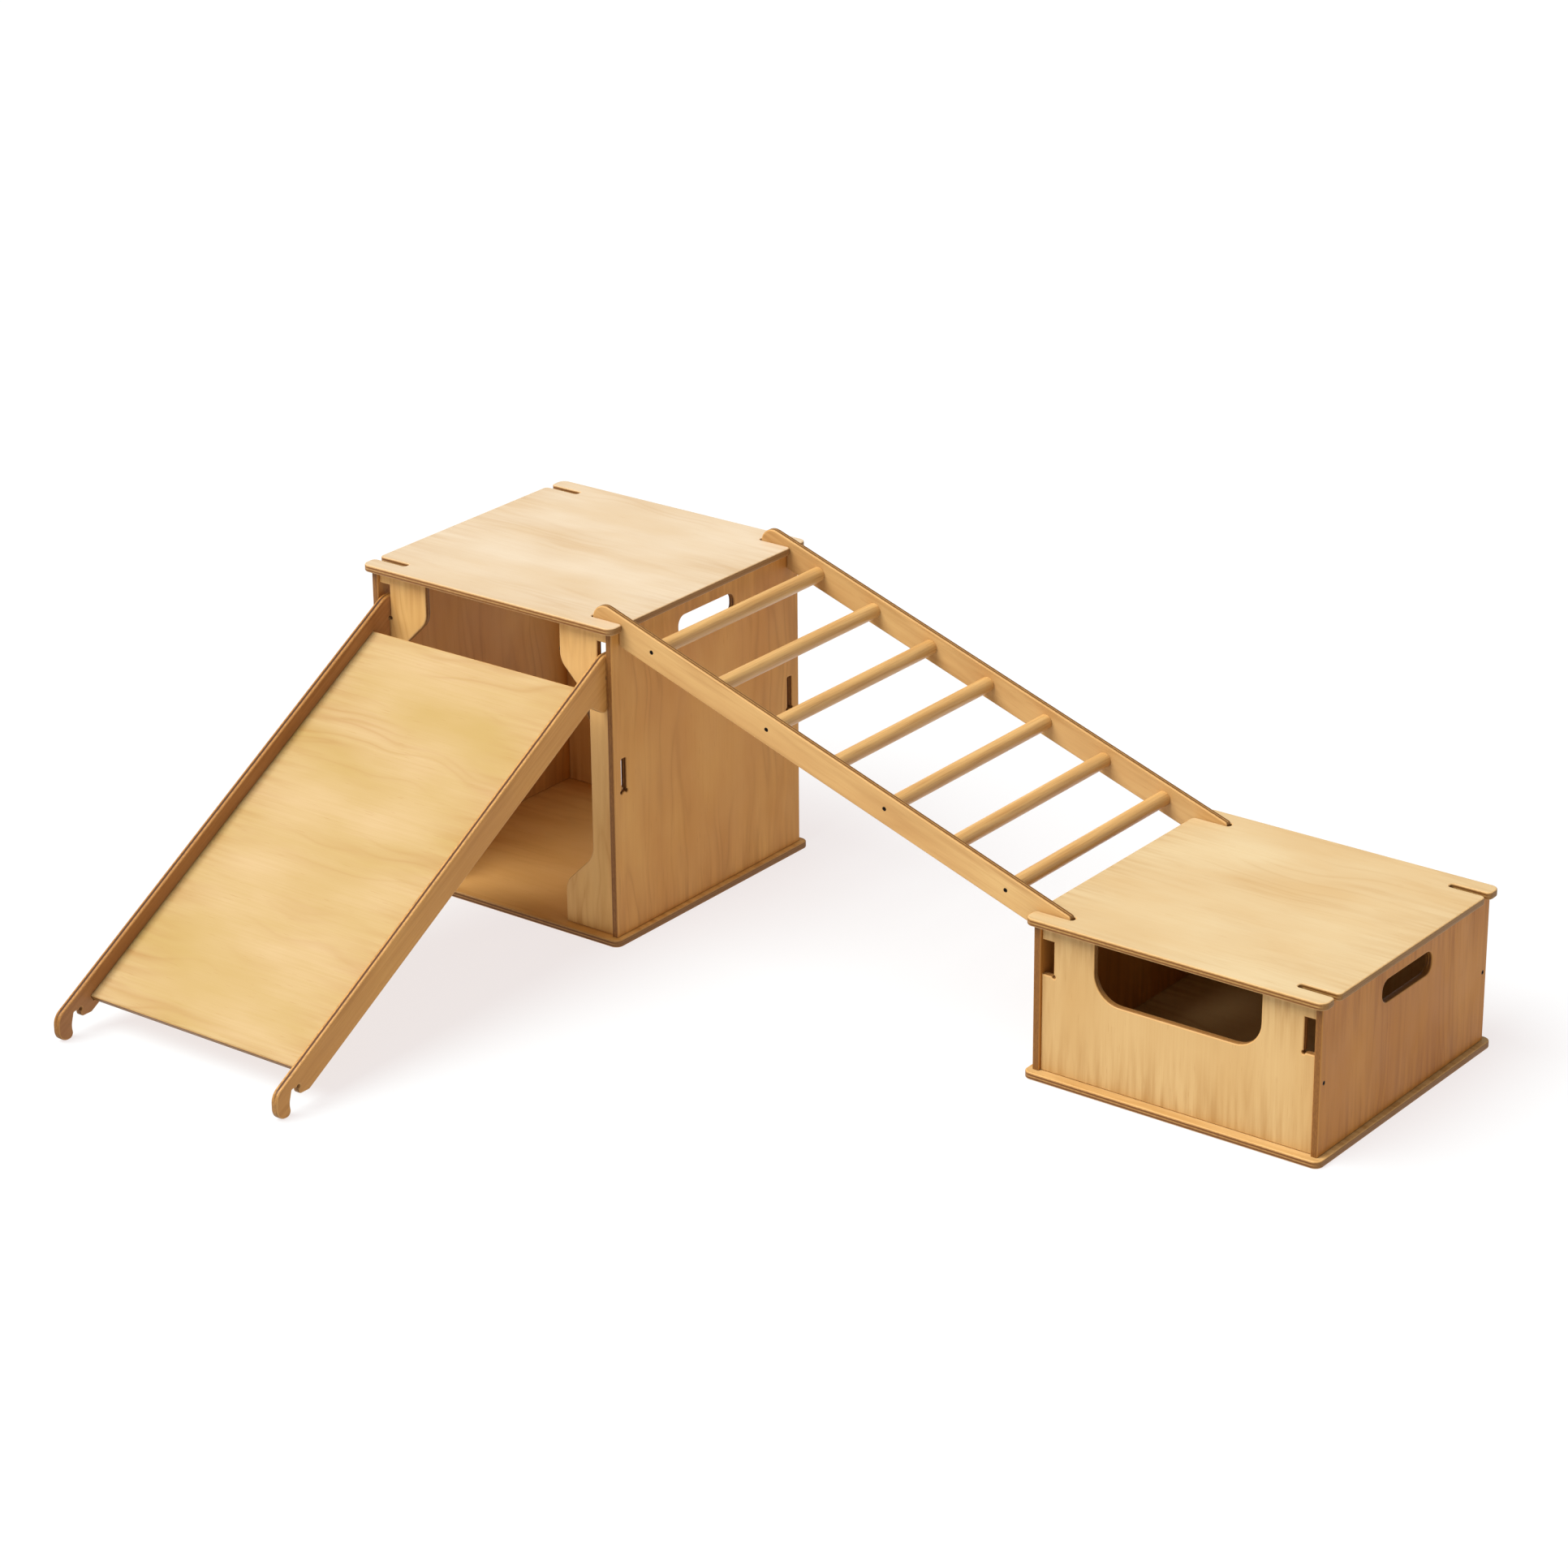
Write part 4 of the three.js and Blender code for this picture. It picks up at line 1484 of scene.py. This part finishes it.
@dataclass
class Slide:
    """Two hooked rails, the bed in their grooves and the battens under it."""

    body: str = "slide"
    angle: float = 30.0
    ply: float = PLY
    rail_w: float = 50.0
    bed_depth: float = 25.0
    groove: float = 5.0
    top_level: float = 499.0
    nose_z: float = 497.0
    tooth_z: float = 441.0
    sill_z: float = 458.3
    heel_z: float = 394.0
    heel_start: float = -38.0
    throat: tuple[float, float] = (4.6, 17.4)
    toe_back: float = -758.5
    foot_waist: tuple[float, float] = (-762.0, 20.0)
    foot_top_y: float = -756.0
    foot_roof: float = 41.0
    foot_heel: tuple[float, float] = (-741.0, -718.0)
    foot_heel_z: float = 27.3
    relief_r: float = 3.0
    bed_y: tuple[float, float] = (-719.0, -37.0)

    def __post_init__(self) -> None:
        """Finds where the side panels' front edges stand in the frame."""
        self.datum = Extent("tower_side_right").y0

    def _height(self, y: float, depth: float = 0.0) -> float:
        """Height of a line parallel to the rails' upper edge.

        Args:
            y: where on it.
            depth: how far it lies below the edge, measured square to it.

        Returns:
            Its height at y.
        """
        slope = math.radians(self.angle)
        return self.top_level + math.tan(slope) * y - depth / math.cos(slope)

    def build(self, shop: Workshop) -> None:
        """Builds rails, bed and battens.

        Args:
            shop: finishes the pieces.
        """
        for side in ("left", "right"):
            box = Extent(f"slide_rail_{side}")
            outline = [(y + self.datum, z, r) for y, z, r in self._rail_outline()]
            groove = self._groove()
            # The left rail takes the look darkened with painted shade, the right rail the one painted
            # lighter.
            look, plane, grain = Look.RAIL_AGED, Plane((box.x0, 0, 0), Y, Z), self.angle
            if side == "right":
                look, plane, grain = Look.RAIL_LIT, Plane((box.x1, 0, 0), Z, Y), 90 - self.angle
                outline = [(z, y, r) for y, z, r in outline]
                groove = groove[:, ::-1]
            board = Board(
                f"slide_rail_{side}_board",
                plane,
                outline,
                pockets=[Pocket(groove, self.groove + FIT)],
                grain=grain,
            )
            shop.board(board, look, self.body, "rail_ply")
        self._sheet(shop, "slide_bed", Look.BED, "bed_ply", arris=1.6)
        for node in ("slide_batten_1", "slide_batten_2"):
            self._sheet(shop, node, Look.RAIL, "rail_ply", arris=1.0)

    def _sheet(self, shop: Workshop, node: str, look: Look, slot: str, arris: float) -> None:
        """Board lying in the slope: its length and thickness come back from its node's box.

        With c and s the slope's cosine and sine, a board of length l and thickness t fills
        l * c + t * s along y and l * s + t * c in height.

        Args:
            shop: finishes the pieces.
            node: the board's node.
            look: its finish.
            slot: the record's material slot.
            arris: how far its edges are rounded over.
        """
        box = Extent(node)
        c, s = math.cos(math.radians(self.angle)), math.sin(math.radians(self.angle))
        deep, tall = box.y1 - box.y0, box.z1 - box.z0
        length = (deep * c - tall * s) / (c * c - s * s)
        thick = (tall * c - deep * s) / (c * c - s * s)
        origin = (0.0, box.y0 + thick * s, box.z0)
        outline = rectangle(box.x0, 0, box.x1, length, 1.0)
        board = Board(
            f"{node}_board", Plane(origin, X, (0.0, c, s)), outline, thickness=thick, arris=arris
        )
        shop.board(board, look, self.body, slot)

    def _groove(self) -> np.ndarray:
        """Groove for the bed's edge: the bed's own section, eased all round.

        Returns:
            Its corners in y and z.
        """
        slope = math.radians(self.angle)
        up_slope = np.array([math.cos(slope), math.sin(slope)])
        down = np.array([math.sin(slope), -math.cos(slope)])
        ends = np.array([[y, self._height(y, self.bed_depth)] for y in self.bed_y])
        low, high = ends + [[self.datum, 0]] + np.array([[-FIT], [FIT]]) * up_slope
        over, under = -FIT * down, (self.ply + FIT) * down
        return np.array([low + over, low + under, high + under, high + over])

    def _rail_outline(self) -> list[tuple]:
        """Outline of a rail, from its toe along the underside to its hook and back.

        Returns:
            Each corner's y from the side panels' front edges, its z and its rounding.
        """
        toe = Extent("slide_rail_right").y0 - self.datum
        tooth_end = Extent("slide_rail_right").y1 - self.datum
        first, last = self.throat
        return [
            (toe, self._height(toe), 25),
            (toe, 0, 19),
            (self.toe_back, 0, 9),
            (*self.foot_waist, 30),
            (self.foot_top_y, self.foot_roof, 2.5),
            (self.foot_heel[0], self.foot_roof, -self.relief_r),
            (self.foot_heel[0], self.foot_heel_z, 6),
            (self.foot_heel[1], self.foot_heel_z, 8),
            (self.heel_start, self._height(self.heel_start, self.rail_w), 10),
            (first, self.heel_z, 9),
            (first, self.sill_z, -self.relief_r),
            (last, self.sill_z, -self.relief_r),
            (last, self.tooth_z, 3),
            (tooth_end, self.tooth_z, 7),
            (tooth_end, self.nose_z, 16),
            ((self.nose_z - self.top_level) / math.tan(math.radians(self.angle)), self.nose_z, 40),
        ]


# ------------------------------------------------------------------------------ studio


@dataclass
class Studio:
    """Pale floor, even soft light and the camera."""

    azimuth: float = 37.0633
    elevation: float = 22.884
    roll: float = 0.4817
    distance: float = 7.2
    target: tuple[float, float, float] = (-0.0919, 0.1694, 0.3315)
    lens: float = 106.72
    sensor: float = 36.0
    shift: tuple[float, float] = (0.0029, 0.0067)
    sky: float = 0.4
    haze: float = 0.16
    sun: float = 4.85
    sun_angle: float = 45.0
    sun_from: tuple[float, float, float] = (-0.34, -0.54, 1.0)
    floor_half: float = 150000.0
    floor_z: float = -0.2

    def build(self) -> None:
        """Sets up floor, light and camera."""
        bpy.context.scene.view_settings.view_transform = "Standard"
        self._floor()
        self._light()
        self._camera()

    def _floor(self) -> None:
        """Large pale sheet that glows a little, so that shadows on it stay faint."""
        surface = Surface()
        signs = np.array([[-1, -1], [1, -1], [1, 1], [-1, 1]])
        corner = np.column_stack([signs * self.floor_half, np.full(4, self.floor_z)])
        surface.faces.append(surface.add(corner)[None])
        floor = surface.to_object("studio_floor")
        material, tree = start_material("pale_studio_floor")
        diffuse = add_node(tree, "BsdfDiffuse", {"Color": linear("#6a7677")})
        glow = add_node(tree, "Emission", {"Color": linear("#e7dfde"), "Strength": 1.0})
        both = add_node(tree, "AddShader", {0: diffuse.outputs[0], 1: glow.outputs[0]})
        add_node(tree, "OutputMaterial", {"Surface": both.outputs[0]})
        floor.data.materials.append(material)

    def _light(self) -> None:
        """Pale sky, white at the horizon, and one broad sun from the upper left, in front."""
        world = bpy.data.worlds.new("studio_sky")
        world.use_nodes = True
        tree = world.node_tree
        direction = add_node(tree, "TexCoord").outputs["Generated"]
        height = add_node(tree, "SeparateXYZ", {0: direction}).outputs["Z"]
        strength = add_node(tree, "MapRange", {0: height, 2: self.haze, 3: 1.0, 4: self.sky})
        tree.links.new(strength.outputs[0], tree.nodes["Background"].inputs["Strength"])
        tree.nodes["Background"].inputs["Color"].default_value = grey(1.0)
        bpy.context.scene.world = world
        lamp = bpy.data.lights.new("studio_sun", "SUN")
        lamp.energy = self.sun
        lamp.angle = math.radians(self.sun_angle)
        sun = bpy.data.objects.new("studio_sun", lamp)
        sun.rotation_euler = Vector(self.sun_from).to_track_quat("Z", "Y").to_euler()
        bpy.context.scene.collection.objects.link(sun)

    def _camera(self) -> None:
        """Camera on a sphere about its target: azimuth from the front towards the right."""
        data = bpy.data.cameras.new("camera")
        data.lens = self.lens
        data.sensor_width = self.sensor
        data.shift_x, data.shift_y = self.shift
        camera = bpy.data.objects.new("camera", data)
        angles = (90 - self.elevation, self.roll, self.azimuth)
        rotation = Euler([math.radians(a) for a in angles], "XYZ")
        camera.rotation_euler = rotation
        camera.location = Vector(self.target) + rotation.to_matrix() @ Vector((0, 0, self.distance))
        bpy.context.scene.collection.objects.link(camera)
        bpy.context.scene.camera = camera


def corners(bounds: object) -> list[list[float]]:
    """Bounds as plain lists of numbers."""
    return [[float(v) for v in corner] for corner in bounds]


def main() -> None:
    """Builds the set around its frame, and the studio."""
    logging.basicConfig(level=logging.INFO, format="%(name)s: %(message)s")
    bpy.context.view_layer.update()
    shop = Workshop()
    Carcass("tower", True, Look.TOP, Look.SIDE_LIGHT, Look.BASE).build(shop)
    Carcass("low_box", False, Look.TOP_WARM, Look.SIDE, Look.FRONT).build(shop)
    Posts().build(shop)
    BayBoards().build(shop)
    Screws().build(shop, "low_box_screw_", "boxes", axis=0)
    Ladder().build(shop)
    Slide().build(shop)
    Studio().build()
    log.info("%d pieces made", shop.made)


if __name__ == "__main__":
    main()
